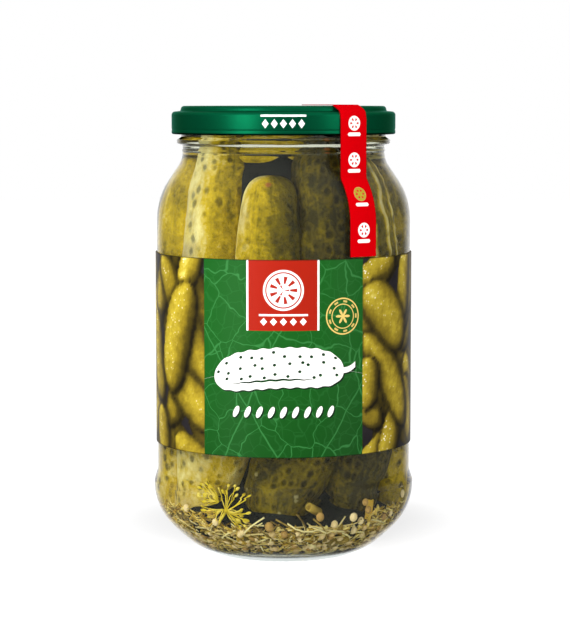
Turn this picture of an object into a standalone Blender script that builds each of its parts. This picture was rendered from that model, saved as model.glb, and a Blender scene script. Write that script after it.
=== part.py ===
"""A shut glass jar of pickled gherkins, built as the real one is.

A turned glass jar with a thick push-up base, a stepped twist-off lid, a paper label lapped at the
back, a paper seal strip over the lid, and inside it a packed heap of gherkins over a bed of mustard
seeds and stalk bits with one dill head against the front wall. Units are metres, +Z is up, and the
origin is the middle of the base. The front of the label faces -Y.
"""

import math
import random

import bmesh
import bpy
from mathutils import Matrix, Vector

MM = 0.001
TOUCHING_GAP = 0.3 * MM

# Glass jar
BODY_RADIUS = 48.2 * MM
HEEL_BUMP_RADIUS = 49.6 * MM
NECK_RADIUS = 38.35 * MM
BEAD_RADIUS = 40.5 * MM
MOUTH_RADIUS = 39.2 * MM
WALL = 2.2 * MM
BASE_FLOOR = 5.2 * MM
PUSH_UP = 2.6 * MM
BASE_RING_INNER = 24.5 * MM
BASE_RING_OUTER = 27.7 * MM
HEEL_TOP = 27.2 * MM
LABEL_PANEL_BOTTOM = 31.5 * MM
SHOULDER_CORNER = 135.0 * MM
NECK_CORNER = 149.6 * MM
BEAD_BOTTOM = 155.2 * MM
GLASS_TOP = 166.8 * MM
GLASS_STEPS = 36

# Twist-off lid
LID_TOP = 169.7 * MM
LID_BOTTOM = 159.1 * MM
LID_RADIUS = 42.45 * MM
LID_DECK_RADIUS = 38.7 * MM
LID_STEP_HEIGHT = 167.8 * MM
LID_BUTTON_RADIUS = 14.0 * MM
LID_BUTTON_DEPTH = 0.5 * MM
LID_SHEET = 0.7 * MM
LID_STEPS = 36

# Paper label and seal strip
LABEL_BOTTOM = 42.4 * MM
LABEL_TOP = 114.6 * MM
LABEL_RADIUS = BODY_RADIUS + TOUCHING_GAP
PAPER = 0.25 * MM
LABEL_LAP = 10.0 * MM
LABEL_STEPS = GLASS_STEPS
STRIP_WIDTH = 12.0 * MM
STRIP_BEARING = math.radians(37)
STRIP_START_RADIUS = 20.0 * MM
STRIP_COLUMNS = 3

# Contents
CONTENTS_GAP = 0.5 * MM
GHERKIN_SIDES = 12
GHERKIN_RINGS = 9
GHERKIN_BLUNTNESS = 0.55
CORE_RADIUS = 27.0 * MM
CORE_BOTTOM = 18.5 * MM
CORE_TOP = 146.0 * MM
CORE_STEPS = 18
BED_BOTTOM = BASE_FLOOR + 1.2 * MM
BED_TOP = 15.0 * MM
SEED_RADIUS = 1.25 * MM
SEED_COUNT = 40
STALK_COUNT = 7
BED_STEPS = 24
DILL_BEARING = math.radians(-28)
DILL_HUB_HEIGHT = 21.0 * MM
DILL_DEPTH = 1.9 * MM
DILL_RAYS = 13
DILL_RAY_LENGTH = 10.5 * MM
DILL_RAY_RADIUS = 0.45 * MM
DILL_CLEARANCE = 4.0 * MM

# Each gherkin stands on the lower or the upper ring: the bearing in degrees to the right of the
# front and the height in millimetres of its foot and of its head, its half thickness, how far its
# axis stands from the jar's at the foot and at the head, and its bow to the right.
GHERKINS = [
    # foot bearing, head bearing, foot, head, half thickness, foot radius, head radius, bow
    (-52, -48, 17.0, 92.0, 14.0, 29.5, 31.0, 1.5),
    (-4, 14, 16.5, 90.0, 12.8, 30.0, 32.0, -1.5),
    (52, 56, 25.0, 88.0, 13.0, 31.0, 32.0, 1.0),
    (97, 95, 17.5, 86.0, 12.6, 31.0, 32.5, -1.0),
    (139, 141, 18.5, 90.0, 13.2, 30.5, 32.0, 1.5),
    (184, 180, 17.0, 84.0, 12.4, 31.0, 32.5, -1.0),
    (225, 222, 22.0, 92.0, 13.0, 31.0, 32.0, 1.0),
    (268, 265, 18.0, 88.0, 12.8, 31.0, 32.0, -1.5),
    (-86, -84, 84.0, 146.0, 11.6, 34.0, 29.0, 1.0),
    (-49, -37, 90.0, 153.0, 11.8, 33.6, 25.0, 1.5),
    (-8, -8, 88.0, 145.5, 11.2, 34.2, 29.0, 0.0),
    (30, 24, 86.0, 154.0, 11.6, 34.0, 24.0, -1.0),
    (68, 62, 84.0, 149.0, 11.4, 34.0, 27.0, 1.0),
    (107, 105, 83.0, 147.0, 11.6, 34.0, 28.0, -1.0),
    (149, 146, 85.0, 152.0, 12.0, 33.5, 25.0, 1.0),
    (191, 190, 82.0, 145.0, 11.8, 33.8, 29.0, 1.0),
    (234, 236, 86.0, 151.0, 12.0, 33.5, 26.0, -1.0),
    (10, 2, 96.0, 156.0, 9.0, 12.0, 12.0, 0.0),
    (180, 190, 96.0, 154.0, 9.0, 12.0, 11.0, 0.0),
]


def clear_scene():
    for obj in list(bpy.data.objects):
        bpy.data.objects.remove(obj, do_unlink=True)


def make_collection(name):
    collection = bpy.data.collections.new(name)
    bpy.context.scene.collection.children.link(collection)
    return collection


def material(name, colour, roughness, metallic=0.0, transmission=0.0):
    mat = bpy.data.materials.new(name)
    mat.use_nodes = True
    shader = mat.node_tree.nodes["Principled BSDF"]
    shader.inputs["Base Color"].default_value = (*colour, 1.0)
    shader.inputs["Roughness"].default_value = roughness
    shader.inputs["Metallic"].default_value = metallic
    shader.inputs["Transmission Weight"].default_value = transmission
    return mat


def add_object(name, mesh, mat, collection):
    obj = bpy.data.objects.new(name, mesh)
    mesh.materials.append(mat)
    collection.objects.link(obj)
    return obj


def rounded(corners, arc_degrees=28):
    """An outline from (radius, height, fillet) corners, where each fillet becomes an arc."""
    outline = [Vector(corners[0][:2])]
    for before, corner, after in zip(corners, corners[1:], corners[2:]):
        point = Vector(corner[:2])
        fillet = corner[2]
        if fillet == 0:
            outline.append(point)
            continue
        back = (Vector(before[:2]) - point).normalized()
        ahead = (Vector(after[:2]) - point).normalized()
        half = back.angle(ahead) / 2
        centre = point + (back + ahead).normalized() * fillet / math.sin(half)
        start = point + back * fillet / math.tan(half) - centre
        turn = (point + ahead * fillet / math.tan(half) - centre).angle_signed(start)
        steps = max(1, math.ceil(abs(turn) / math.radians(arc_degrees)))
        for step in range(steps + 1):
            outline.append(centre + Matrix.Rotation(turn * step / steps, 2) @ start)
    outline.append(Vector(corners[-1][:2]))
    return outline


def turned(name, outline, steps, mat, collection):
    """A solid of revolution: the outline runs from the axis, down the outer side, to the axis."""
    mesh = bpy.data.meshes.new(name)
    points = [(radius, 0.0, height) for radius, height in outline]
    edges = [(i, i + 1) for i in range(len(points) - 1)]
    mesh.from_pydata(points, edges, [])
    obj = add_object(name, mesh, mat, collection)
    screw = obj.modifiers.new("Turned", "SCREW")
    screw.axis = "Z"
    screw.steps = steps
    screw.render_steps = steps
    screw.use_merge_vertices = True
    screw.merge_threshold = 0.01 * MM
    screw.use_smooth_shade = True
    return obj


def inner_wall():
    """The inside of the glass from the middle of the floor up to the mouth."""
    inner_body = BODY_RADIUS - WALL
    inner_neck = NECK_RADIUS - WALL
    return rounded(
        [
            (0.0, BASE_FLOOR + 0.6 * PUSH_UP, 0),
            (21 * MM, BASE_FLOOR + 0.6 * PUSH_UP, 12 * MM),
            (29 * MM, BASE_FLOOR, 14 * MM),
            (inner_body, 17.5 * MM, 17 * MM),
            (inner_body, SHOULDER_CORNER - 0.7 * MM, 24 * MM),
            (inner_neck, NECK_CORNER + 0.6 * MM, 12 * MM),
            (inner_neck, GLASS_TOP, 0.9 * MM),
            (MOUTH_RADIUS - 1 * MM, GLASS_TOP, 0),
        ]
    )


def outer_wall():
    """The outside of the glass from the mouth down to the middle of the base."""
    return rounded(
        [
            (inner_wall()[-1].x, GLASS_TOP, 0),
            (MOUTH_RADIUS, GLASS_TOP, 0.7 * MM),
            (MOUTH_RADIUS - 0.4 * MM, 157.9 * MM, 0),
            (BEAD_RADIUS, 157.0 * MM, 0.7 * MM),
            (BEAD_RADIUS, BEAD_BOTTOM + 0.4 * MM, 0.5 * MM),
            (NECK_RADIUS, BEAD_BOTTOM, 0),
            (NECK_RADIUS, NECK_CORNER, 10 * MM),
            (BODY_RADIUS, SHOULDER_CORNER, 26 * MM),
            (BODY_RADIUS, LABEL_PANEL_BOTTOM, 4 * MM),
            (HEEL_BUMP_RADIUS, HEEL_TOP, 1.5 * MM),
            (HEEL_BUMP_RADIUS, 16.7 * MM, 22 * MM),
            (34.8 * MM, 2.5 * MM, 29 * MM),
            (BASE_RING_OUTER, 0.0, 0),
            (BASE_RING_INNER, 0.0, 0),
            (18 * MM, PUSH_UP, 10 * MM),
            (0.0, PUSH_UP, 0),
        ]
    )


def contents_limit(height):
    """The largest radius that the contents may reach at this height, a gap inside the glass."""
    wall = inner_wall()
    for low, high in zip(wall, wall[1:]):
        if low.y <= height <= high.y and high.y > low.y:
            share = (height - low.y) / (high.y - low.y)
            return low.x + share * (high.x - low.x) - CONTENTS_GAP
    return wall[2].x


def dill_notch(point):
    """How far the heap stands back from the glass round the dill head."""
    across = (math.atan2(point.x, -point.y) - DILL_BEARING) * BODY_RADIUS
    reach = math.hypot(across, point.z - DILL_HUB_HEIGHT) / (DILL_RAY_LENGTH + 5 * MM)
    return DILL_CLEARANCE * max(0.0, min(1.0, 3.0 - 2.5 * reach))


def press_in(vertices, notched=False):
    """Whatever would cross the glass is pressed flat against the inside of the wall."""
    for vertex in vertices:
        radius = math.hypot(vertex.co.x, vertex.co.y)
        limit = contents_limit(vertex.co.z)
        if notched:
            limit -= dill_notch(vertex.co)
        if radius > limit:
            vertex.co.x *= limit / radius
            vertex.co.y *= limit / radius


def on_ring(bearing, radius, height):
    """A point at a bearing in radians to the right of the front."""
    return Vector((radius * math.sin(bearing), -radius * math.cos(bearing), height))


def gherkin(row, draw):
    """One gherkin as a ball drawn out along its bowed axis, with shallow lumps along its sides."""
    foot_at, head_at, foot, head, half, foot_radius, head_radius, bow = row
    low = on_ring(math.radians(foot_at), foot_radius * MM, foot * MM)
    high = on_ring(math.radians(head_at), head_radius * MM, head * MM)
    middle = (low + high) / 2
    along = (high - low) / 2
    turn = Vector((0, 0, 1)).rotation_difference(along).to_matrix()
    aside = Vector((math.cos(math.radians(foot_at)), math.sin(math.radians(foot_at)), 0))
    phase = draw.uniform(0, math.tau)
    ball = bmesh.new()
    bmesh.ops.create_uvsphere(ball, u_segments=GHERKIN_SIDES, v_segments=GHERKIN_RINGS, radius=1)
    for vertex in ball.verts:
        rise = vertex.co.z
        ring = math.hypot(vertex.co.x, vertex.co.y)
        swell = ring**GHERKIN_BLUNTNESS / ring if ring > 1e-4 else 0.0
        lump = 1 + 0.05 * math.sin(4.0 * rise + phase)
        side = turn @ Vector((vertex.co.x, vertex.co.y, 0)) * swell * half * MM * lump
        vertex.co = middle + along * rise + side + aside * bow * MM * (1 - rise * rise)
    press_in(ball.verts, notched=True)
    return ball


def core_outline():
    """The inner stack of gherkins, which only its outer ones hide, as one turned core."""
    neck_radius = NECK_RADIUS - WALL - 12 * MM
    return rounded(
        [
            (0.0, CORE_TOP, 0),
            (neck_radius, CORE_TOP, 7 * MM),
            (CORE_RADIUS, 120 * MM, 20 * MM),
            (CORE_RADIUS - 2 * MM, 87 * MM, 20 * MM),
            (CORE_RADIUS, 70 * MM, 20 * MM),
            (CORE_RADIUS, CORE_BOTTOM, 8 * MM),
            (0.0, CORE_BOTTOM, 0),
        ],
        30,
    )


def mesh_of(shape, name):
    mesh = bpy.data.meshes.new(name)
    shape.to_mesh(mesh)
    shape.free()
    return mesh


def largest_shell(obj):
    """Keeps the outer skin: sealed hollows are filled and loose scraps dropped."""
    shape = bmesh.new()
    shape.from_mesh(obj.data)
    bmesh.ops.remove_doubles(shape, verts=shape.verts, dist=0.001 * MM)
    left = set(shape.faces)
    shells = []
    while left:
        shell = set()
        front = [left.pop()]
        while front:
            face = front.pop()
            shell.add(face)
            for edge in face.edges:
                for other in edge.link_faces:
                    if len(edge.link_faces) == 2 and other in left:
                        left.discard(other)
                        front.append(other)
        shells.append(shell)
    shells.sort(key=len)
    for shell in shells[:-1]:
        bmesh.ops.delete(shape, geom=list(shell), context="FACES")
    shape.to_mesh(obj.data)
    shape.free()


def fused(obj, pieces, helpers, solver="EXACT"):
    """Joins the pieces to the object with one Boolean, then removes them."""
    for index, shape in enumerate(pieces):
        mesh = mesh_of(shape, f"{obj.name} piece {index}")
        helpers.objects.link(bpy.data.objects.new(mesh.name, mesh))
    union = obj.modifiers.new("Fused", "BOOLEAN")
    union.operation = "UNION"
    union.solver = solver
    union.operand_type = "COLLECTION"
    union.collection = helpers
    bpy.context.view_layer.update()
    graph = bpy.context.evaluated_depsgraph_get()
    joined = bpy.data.meshes.new_from_object(obj.evaluated_get(graph))
    obj.modifiers.clear()
    mat = obj.data.materials[0]
    obj.data = joined
    joined.name = obj.name
    joined.materials.clear()
    joined.materials.append(mat)
    for helper in list(helpers.objects):
        bpy.data.objects.remove(helper, do_unlink=True)
    largest_shell(obj)
    obj.data.shade_smooth()


def build_glass(parts):
    glass = material("glass", (0.93, 0.96, 0.93), 0.03, transmission=1.0)
    outline = inner_wall()[:-1] + outer_wall()[1:]
    return turned("jar_glass", outline, GLASS_STEPS, glass, parts)


def build_lid(parts):
    """Sheet-metal cap: a raised deck with a safety button, a stepped edge, a skirt and a curl."""
    green = material("lid green", (0.012, 0.16, 0.045), 0.28, metallic=0.3)
    button = LID_TOP - LID_BUTTON_DEPTH
    deck = [
        (0.0, button, 0),
        (LID_BUTTON_RADIUS, button, 2 * MM),
        (LID_BUTTON_RADIUS + 1.5 * MM, LID_TOP, 2 * MM),
        (LID_DECK_RADIUS, LID_TOP, 1.3 * MM),
        (LID_DECK_RADIUS + 0.4 * MM, LID_STEP_HEIGHT, 0.3 * MM),
        (LID_RADIUS, LID_STEP_HEIGHT - 0.3 * MM, 1.4 * MM),
        (LID_RADIUS, LID_BOTTOM, 0.6 * MM),
        (LID_RADIUS - 1.5 * MM, LID_BOTTOM, 0.6 * MM),
        (LID_RADIUS - 1.5 * MM, LID_BOTTOM + 1.4 * MM, 0.2 * MM),
        (LID_RADIUS - LID_SHEET, LID_BOTTOM + 1.6 * MM, 0.2 * MM),
        (LID_RADIUS - LID_SHEET, LID_STEP_HEIGHT - LID_SHEET, 0.6 * MM),
        (LID_DECK_RADIUS - 0.4 * MM, LID_STEP_HEIGHT - LID_SHEET, 0),
        (LID_DECK_RADIUS - LID_SHEET, LID_TOP - LID_SHEET, 0.6 * MM),
        (LID_BUTTON_RADIUS + 1.5 * MM, LID_TOP - LID_SHEET, 1 * MM),
        (LID_BUTTON_RADIUS, button - LID_SHEET, 1 * MM),
        (0.0, button - LID_SHEET, 0),
    ]
    return turned("lid", rounded(deck, 95), LID_STEPS, green, parts)


def build_label(parts):
    """A paper strip once round the body, whose end laps over its start at the back."""
    paper = material("label print", (0.09, 0.22, 0.05), 0.45)
    step = math.tau / LABEL_STEPS
    lap = LABEL_LAP / LABEL_RADIUS
    mesh = bpy.data.meshes.new("label")
    angles = [math.pi + step * i for i in range(LABEL_STEPS + 1)] + [math.pi + math.tau + lap]
    shape = bmesh.new()
    columns = []
    for index, angle in enumerate(angles):
        past = min(1.0, max(0.0, (index - LABEL_STEPS + 1) / 1.0))
        radius = LABEL_RADIUS + past * (PAPER + 0.1 * MM)
        columns.append([shape.verts.new(on_ring(angle, radius, z)) for z in (LABEL_BOTTOM, LABEL_TOP)])
    for left, right in zip(columns, columns[1:]):
        shape.faces.new((left[0], right[0], right[1], left[1]))
    shape.to_mesh(mesh)
    shape.free()
    label = add_object("label", mesh, paper, parts)
    add_paper_thickness(label)
    return label


def add_paper_thickness(obj):
    solid = obj.modifiers.new("Paper", "SOLIDIFY")
    solid.thickness = PAPER
    solid.offset = 1.0
    solid.use_even_offset = False


def strip_path():
    """The seal strip from the lid's deck over its edge and down to the top of the label."""
    proud = TOUCHING_GAP
    hang = LID_RADIUS + proud
    shoulder = [
        Vector((point.x + proud, point.y))
        for point in outer_wall()
        if SHOULDER_CORNER - 9 * MM < point.y < NECK_CORNER and point.x > hang - 1 * MM
    ]
    corners = [
        (STRIP_START_RADIUS, LID_TOP + proud, 0),
        (LID_DECK_RADIUS - 0.6 * MM, LID_TOP + proud, 2 * MM),
        (LID_RADIUS - 0.3 * MM, LID_STEP_HEIGHT - 0.2 * MM + proud, 1.5 * MM),
        (hang, LID_STEP_HEIGHT - 3 * MM, 3 * MM),
        (hang, 143.6 * MM, 2 * MM),
    ]
    path = rounded(corners + [(shoulder[1].x, shoulder[1].y, 0)], 30)[:-1]
    path += shoulder[1:]
    path.append(Vector((BODY_RADIUS + proud, LABEL_TOP + 0.5 * MM)))
    return path


def build_strip(parts):
    """A paper strip pasted from the lid's deck down over the shoulder."""
    red = material("seal strip", (0.55, 0.02, 0.02), 0.4)
    shape = bmesh.new()
    rows = []
    for point in strip_path():
        row = []
        for column in range(STRIP_COLUMNS + 1):
            aside = STRIP_WIDTH * (column / STRIP_COLUMNS - 0.5)
            row.append(shape.verts.new(on_ring(STRIP_BEARING + aside / point.x, point.x, point.y)))
        rows.append(row)
    for upper, lower in zip(rows, rows[1:]):
        for index in range(STRIP_COLUMNS):
            shape.faces.new((upper[index], lower[index], lower[index + 1], upper[index + 1]))
    strip = add_object("seal_strip", mesh_of(shape, "seal_strip"), red, parts)
    add_paper_thickness(strip)
    return strip


def build_pickles(parts, helpers):
    green = material("gherkin", (0.22, 0.2, 0.03), 0.35)
    heap = turned("pickles", core_outline(), CORE_STEPS, green, parts)
    bpy.context.view_layer.update()
    graph = bpy.context.evaluated_depsgraph_get()
    heap.data = bpy.data.meshes.new_from_object(heap.evaluated_get(graph))
    heap.modifiers.clear()
    draw = random.Random(11)
    fused(heap, [gherkin(row, draw) for row in GHERKINS], helpers)
    return heap


def seed(place, draw):
    shape = bmesh.new()
    bmesh.ops.create_uvsphere(
        shape, u_segments=6, v_segments=3, radius=SEED_RADIUS * draw.uniform(0.9, 1.1)
    )
    turn = Matrix.Rotation(draw.uniform(0, math.pi), 4, "X") @ Matrix.Rotation(draw.uniform(0, 3), 4, "Z")
    bmesh.ops.transform(shape, matrix=Matrix.Translation(place) @ turn, verts=shape.verts)
    return shape


def stalk(bearing, height, lean, length, thickness):
    """A cut bit of stalk lying against the glass."""
    shape = bmesh.new()
    bmesh.ops.create_cone(
        shape, cap_ends=True, segments=8, radius1=thickness / 2, radius2=thickness / 2, depth=length
    )
    place = on_ring(bearing, contents_limit(height) - thickness, height)
    turn = Matrix.Rotation(bearing, 4, "Z") @ Matrix.Rotation(lean, 4, "Y")
    bmesh.ops.transform(shape, matrix=Matrix.Translation(place) @ turn, verts=shape.verts)
    return shape


def bed_outline():
    side = [
        (contents_limit(height) - 0.8 * MM, height)
        for height in (BED_TOP - 1 * MM, 12 * MM, 10 * MM, BED_BOTTOM + 1 * MM)
    ]
    return [
        (0.0, BED_TOP),
        (30 * MM, BED_TOP),
        *side,
        (side[-1][0] - 5 * MM, BED_BOTTOM + 0.6 * MM),
        (0.0, BED_BOTTOM + 0.6 * MM),
    ]


def build_spices(parts, helpers):
    """The bed of mustard seeds, with the seeds and stalk bits that show fused to its side."""
    tan = material("spice", (0.42, 0.3, 0.1), 0.5)
    bed = turned("spices", bed_outline(), BED_STEPS, tan, parts)
    bpy.context.view_layer.update()
    graph = bpy.context.evaluated_depsgraph_get()
    bed.data = bpy.data.meshes.new_from_object(bed.evaluated_get(graph))
    bed.modifiers.clear()
    draw = random.Random(5)
    golden = math.pi * (3 - math.sqrt(5))
    pieces = []
    for index in range(SEED_COUNT):
        height = BED_BOTTOM + 2.2 * MM + (BED_TOP - BED_BOTTOM - 2.5 * MM) * ((index * 0.37) % 1)
        radius = contents_limit(height) - SEED_RADIUS * 1.05
        pieces.append(seed(on_ring(index * golden, radius, height), draw))
    for index in range(STALK_COUNT):
        bearing = math.radians(12) + index * math.tau / STALK_COUNT
        lean = draw.uniform(0.9, 1.4)
        pieces.append(stalk(bearing, 12 * MM, lean, draw.uniform(7, 10) * MM, 3 * MM))
    for piece in pieces:
        press_in(piece.verts)
    fused(bed, pieces, helpers)
    return bed


def rod(start, end, radius, sides=5):
    shape = bmesh.new()
    span = end - start
    bmesh.ops.create_cone(
        shape, cap_ends=True, segments=sides, radius1=radius, radius2=radius, depth=span.length
    )
    turn = Vector((0, 0, 1)).rotation_difference(span).to_matrix().to_4x4()
    bmesh.ops.transform(
        shape, matrix=Matrix.Translation((start + end) / 2) @ turn, verts=shape.verts
    )
    return shape


def build_dill(parts, helpers):
    """A dill head spread flat behind the front wall: a hub, its rays and a bud on each ray."""
    yellow = material("dill", (0.42, 0.42, 0.06), 0.5)

    def against_wall(aside, rise):
        height = DILL_HUB_HEIGHT + rise
        radius = contents_limit(height) - DILL_DEPTH
        return on_ring(DILL_BEARING + aside / radius, radius, height)

    hub_shape = bmesh.new()
    bmesh.ops.create_icosphere(hub_shape, subdivisions=2, radius=1.3 * MM)
    bmesh.ops.translate(hub_shape, vec=against_wall(0, 0), verts=hub_shape.verts)
    hub = add_object("dill_head", mesh_of(hub_shape, "dill_head"), yellow, parts)
    draw = random.Random(3)
    pieces = []
    for index in range(DILL_RAYS):
        turn = math.tau * (index + 0.5) / DILL_RAYS
        length = DILL_RAY_LENGTH * draw.uniform(0.75, 1.0)
        rise = length * math.cos(turn) * (0.6 if math.cos(turn) < 0 else 1.0)
        tip = against_wall(length * math.sin(turn), rise)
        pieces.append(rod(against_wall(0, 0), tip, DILL_RAY_RADIUS))
        bud = bmesh.new()
        bmesh.ops.create_icosphere(bud, subdivisions=1, radius=1.1 * MM)
        bmesh.ops.translate(bud, vec=tip, verts=bud.verts)
        pieces.append(bud)
    fused(hub, pieces, helpers)
    return hub


def main():
    clear_scene()
    parts = make_collection("pickle_jar")
    helpers = make_collection("cutters")
    build_glass(parts)
    build_lid(parts)
    build_label(parts)
    build_strip(parts)
    build_pickles(parts, helpers)
    build_spices(parts, helpers)
    build_dill(parts, helpers)


main()
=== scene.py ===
"""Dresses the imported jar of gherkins: clear glass, brine, lid, printed label and contents."""

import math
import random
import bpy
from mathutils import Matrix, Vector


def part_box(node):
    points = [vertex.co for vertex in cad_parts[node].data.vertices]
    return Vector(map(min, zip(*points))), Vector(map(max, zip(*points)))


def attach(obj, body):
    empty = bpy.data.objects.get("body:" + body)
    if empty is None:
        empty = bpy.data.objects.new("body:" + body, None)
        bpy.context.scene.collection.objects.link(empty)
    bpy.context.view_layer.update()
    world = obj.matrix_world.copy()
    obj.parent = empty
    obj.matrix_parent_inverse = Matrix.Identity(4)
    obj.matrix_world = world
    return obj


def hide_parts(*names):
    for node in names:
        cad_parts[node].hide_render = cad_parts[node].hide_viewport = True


bl_info = {
    "name": "Jar of Gherkins",
    "version": (1, 0, 0),
    "blender": (4, 5, 0),
    "location": "3D View > Sidebar > Jar",
    "description": "Builds the glass, brine, lid, paper and contents of a shut jar of gherkins",
    "category": "Add Mesh",
}

import bmesh
import bpy
import numpy as np
from mathutils import Matrix, Vector, noise

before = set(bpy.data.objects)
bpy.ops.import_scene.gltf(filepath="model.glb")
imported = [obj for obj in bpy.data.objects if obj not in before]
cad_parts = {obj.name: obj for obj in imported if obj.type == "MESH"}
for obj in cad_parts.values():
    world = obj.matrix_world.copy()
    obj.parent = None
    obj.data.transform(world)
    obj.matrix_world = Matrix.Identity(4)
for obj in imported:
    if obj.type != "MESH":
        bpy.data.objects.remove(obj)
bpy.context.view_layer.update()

MM = 0.001
_, GLASS_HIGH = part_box("jar_glass")
LID_LOW, LID_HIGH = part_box("lid")
LABEL_LOW, LABEL_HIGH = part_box("label")
TOUCHING_GAP = 0.3 * MM
WELD = 0.002 * MM
CONTENTS_GAP = 0.5 * MM


def srgb(red, green, blue):
    """A screen colour from 0 to 255 as the linear colour that a material takes."""
    parts = [value / 255 for value in (red, green, blue)]
    return tuple(v / 12.92 if v <= 0.04045 else ((v + 0.055) / 1.055) ** 2.4 for v in parts)


def length(name, about, millimetres):
    settings = {"default": millimetres * MM, "unit": "LENGTH", "precision": 5}
    return bpy.props.FloatProperty(name=name, description=about, **settings)


def angle(name, about, degrees):
    return bpy.props.FloatProperty(
        name=name, description=about, default=math.radians(degrees), subtype="ANGLE"
    )


def power(name, about, watts):
    return bpy.props.FloatProperty(name=name, description=about, default=watts, unit="POWER")


def amount(name, about, number):
    return bpy.props.IntProperty(name=name, description=about, default=number, min=0)


def colour(name, about, red, green, blue):
    return bpy.props.FloatVectorProperty(
        name=name, description=about, default=srgb(red, green, blue), subtype="COLOR", size=3
    )


class GlassSettings(bpy.types.PropertyGroup):
    """Sizes of the turned jar, level of its brine and tints of both."""

    body: length("Body radius", "Outside radius of the wall behind the label", 48.2)
    heel: length("Heel radius", "Radius of the raised ring over the heel", 49.6)
    neck: length("Neck radius", "Outside radius of the neck", 38.35)
    bead: length("Bead radius", "Radius of the bead under the lid", 40.5)
    mouth: length("Mouth radius", "Outside radius of the mouth, hidden by the lid", 39.2)
    wall: length("Wall", "Thickness of the wall", 2.2)
    floor: length("Floor", "Height of the glass floor at the heel", 5.2)
    push_up: length("Push-up", "How far the middle of the base is pushed up", 2.6)
    shoulder: length("Shoulder corner", "Height where the wall turns in", 135.0)
    neck_corner: length("Neck corner", "Height where the shoulder meets the neck", 149.6)
    brine_top: length("Brine level", "Height of the brine, hidden by the lid", 161.5)
    tint: colour("Glass tint", "Colour of the glass", 250, 254, 251)
    brine: colour("Brine tint", "Colour of the brine", 253, 249, 232)


class LidSettings(bpy.types.PropertyGroup):
    """Sizes and colours of the twist-off lid."""

    deck: length("Deck radius", "Radius of the raised deck", 38.7)
    step: length("Step height", "Height of the step round the deck", 167.8)
    button: length("Button radius", "Radius of the safety button", 14.0)
    sheet: length("Sheet", "Thickness of the sheet metal", 0.7)
    paint: colour("Paint", "Lacquer on the lid", 8, 110, 72)
    light_paint: colour("Light paint", "Clouds in the lacquer", 8, 124, 72)
    mark: colour("Mark", "Printed lozenges", 242, 245, 244)


class PrintSettings(bpy.types.PropertyGroup):
    """Sizes and colours of the label and of the seal strip."""

    paper: length("Paper", "Thickness of the paper", 0.25)
    panel: length("Panel", "Half width of the green panel along the label", 31.0)
    strip_width: length("Strip width", "Width of the seal strip", 12.0)
    strip_bearing: angle("Strip bearing", "Where the strip hangs, to the right of the front", 37)
    green: colour("Panel green", "Leaf green of the front panel", 14, 86, 20)
    deep_green: colour("Deep green", "The panel towards its foot", 10, 70, 14)
    vein: colour("Vein", "Leaf veins on the panel", 66, 146, 76)
    red: colour("Red field", "The field at the head of the panel", 158, 24, 0)
    cream: colour("Cream", "Pale rules, shapes and rings", 252, 250, 244)
    gold: colour("Gold", "The ring badge", 224, 190, 104)
    ground: colour("Ground", "Dark ground between the printed gherkins", 42, 38, 40)
    strip_red: colour("Strip red", "The seal strip", 200, 0, 8)


class ContentsSettings(bpy.types.PropertyGroup):
    """Sizes and colours of what the jar holds."""

    bed_bottom: length("Bed bottom", "Height of the underside of the spice bed", 6.4)
    bed_top: length("Bed top", "Height of the spice bed", 15.0)
    seed: length("Seed radius", "Radius of a mustard seed", 1.3)
    seeds: amount("Seeds", "Mustard seeds in the bed", 360)
    shreds: amount("Shreds", "Dill shreds in the bed", 620)
    flakes: amount("Flakes", "Scraps of leaf in the bed", 1700)
    dill_bearing: angle("Dill bearing", "Where the dill head sits", -28)
    dill_height: length("Dill height", "Height of the dill head's hub", 21.8)
    dark: colour("Dark skin", "The darkest gherkin skin", 50, 46, 24)
    olive: colour("Olive skin", "Olive gherkin skin", 118, 103, 18)
    yellow: colour("Yellow skin", "Yellow green gherkin skin", 208, 178, 34)
    pale: colour("Pale skin", "The palest gherkin skin", 242, 230, 160)
    mustard: colour("Mustard", "Mustard seed", 252, 230, 178)
    dill: colour("Dill", "Middle tone of the dill head", 226, 202, 50)


class StageSettings(bpy.types.PropertyGroup):
    """The camera's place, tilt and lens, and the power of the lamps."""

    distance: length("Distance", "Camera to the jar's axis", 850.0)
    height: length("Height", "Camera height over the floor", 172.0)
    aside: length("Aside", "How far the camera stands to the right", 0.57)
    tilt: angle("Tilt", "How far the camera looks down", 5.51)
    lens: bpy.props.FloatProperty(name="Lens", description="Focal length", default=127.5, min=1)
    key: power("Key", "Power of the left softbox", 11.0)
    fill: power("Fill", "Power of the right softbox", 2.8)
    front: power("Front", "Power of the softbox over the camera", 3.6)
    top: power("Top", "Power of the softbox overhead", 4.0)
    glow: power("Glow", "Power of the left lamp that only reflections show", 9.5)
    sky: bpy.props.FloatProperty(name="Sky", description="Brightness of the room", default=0.3)


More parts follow.
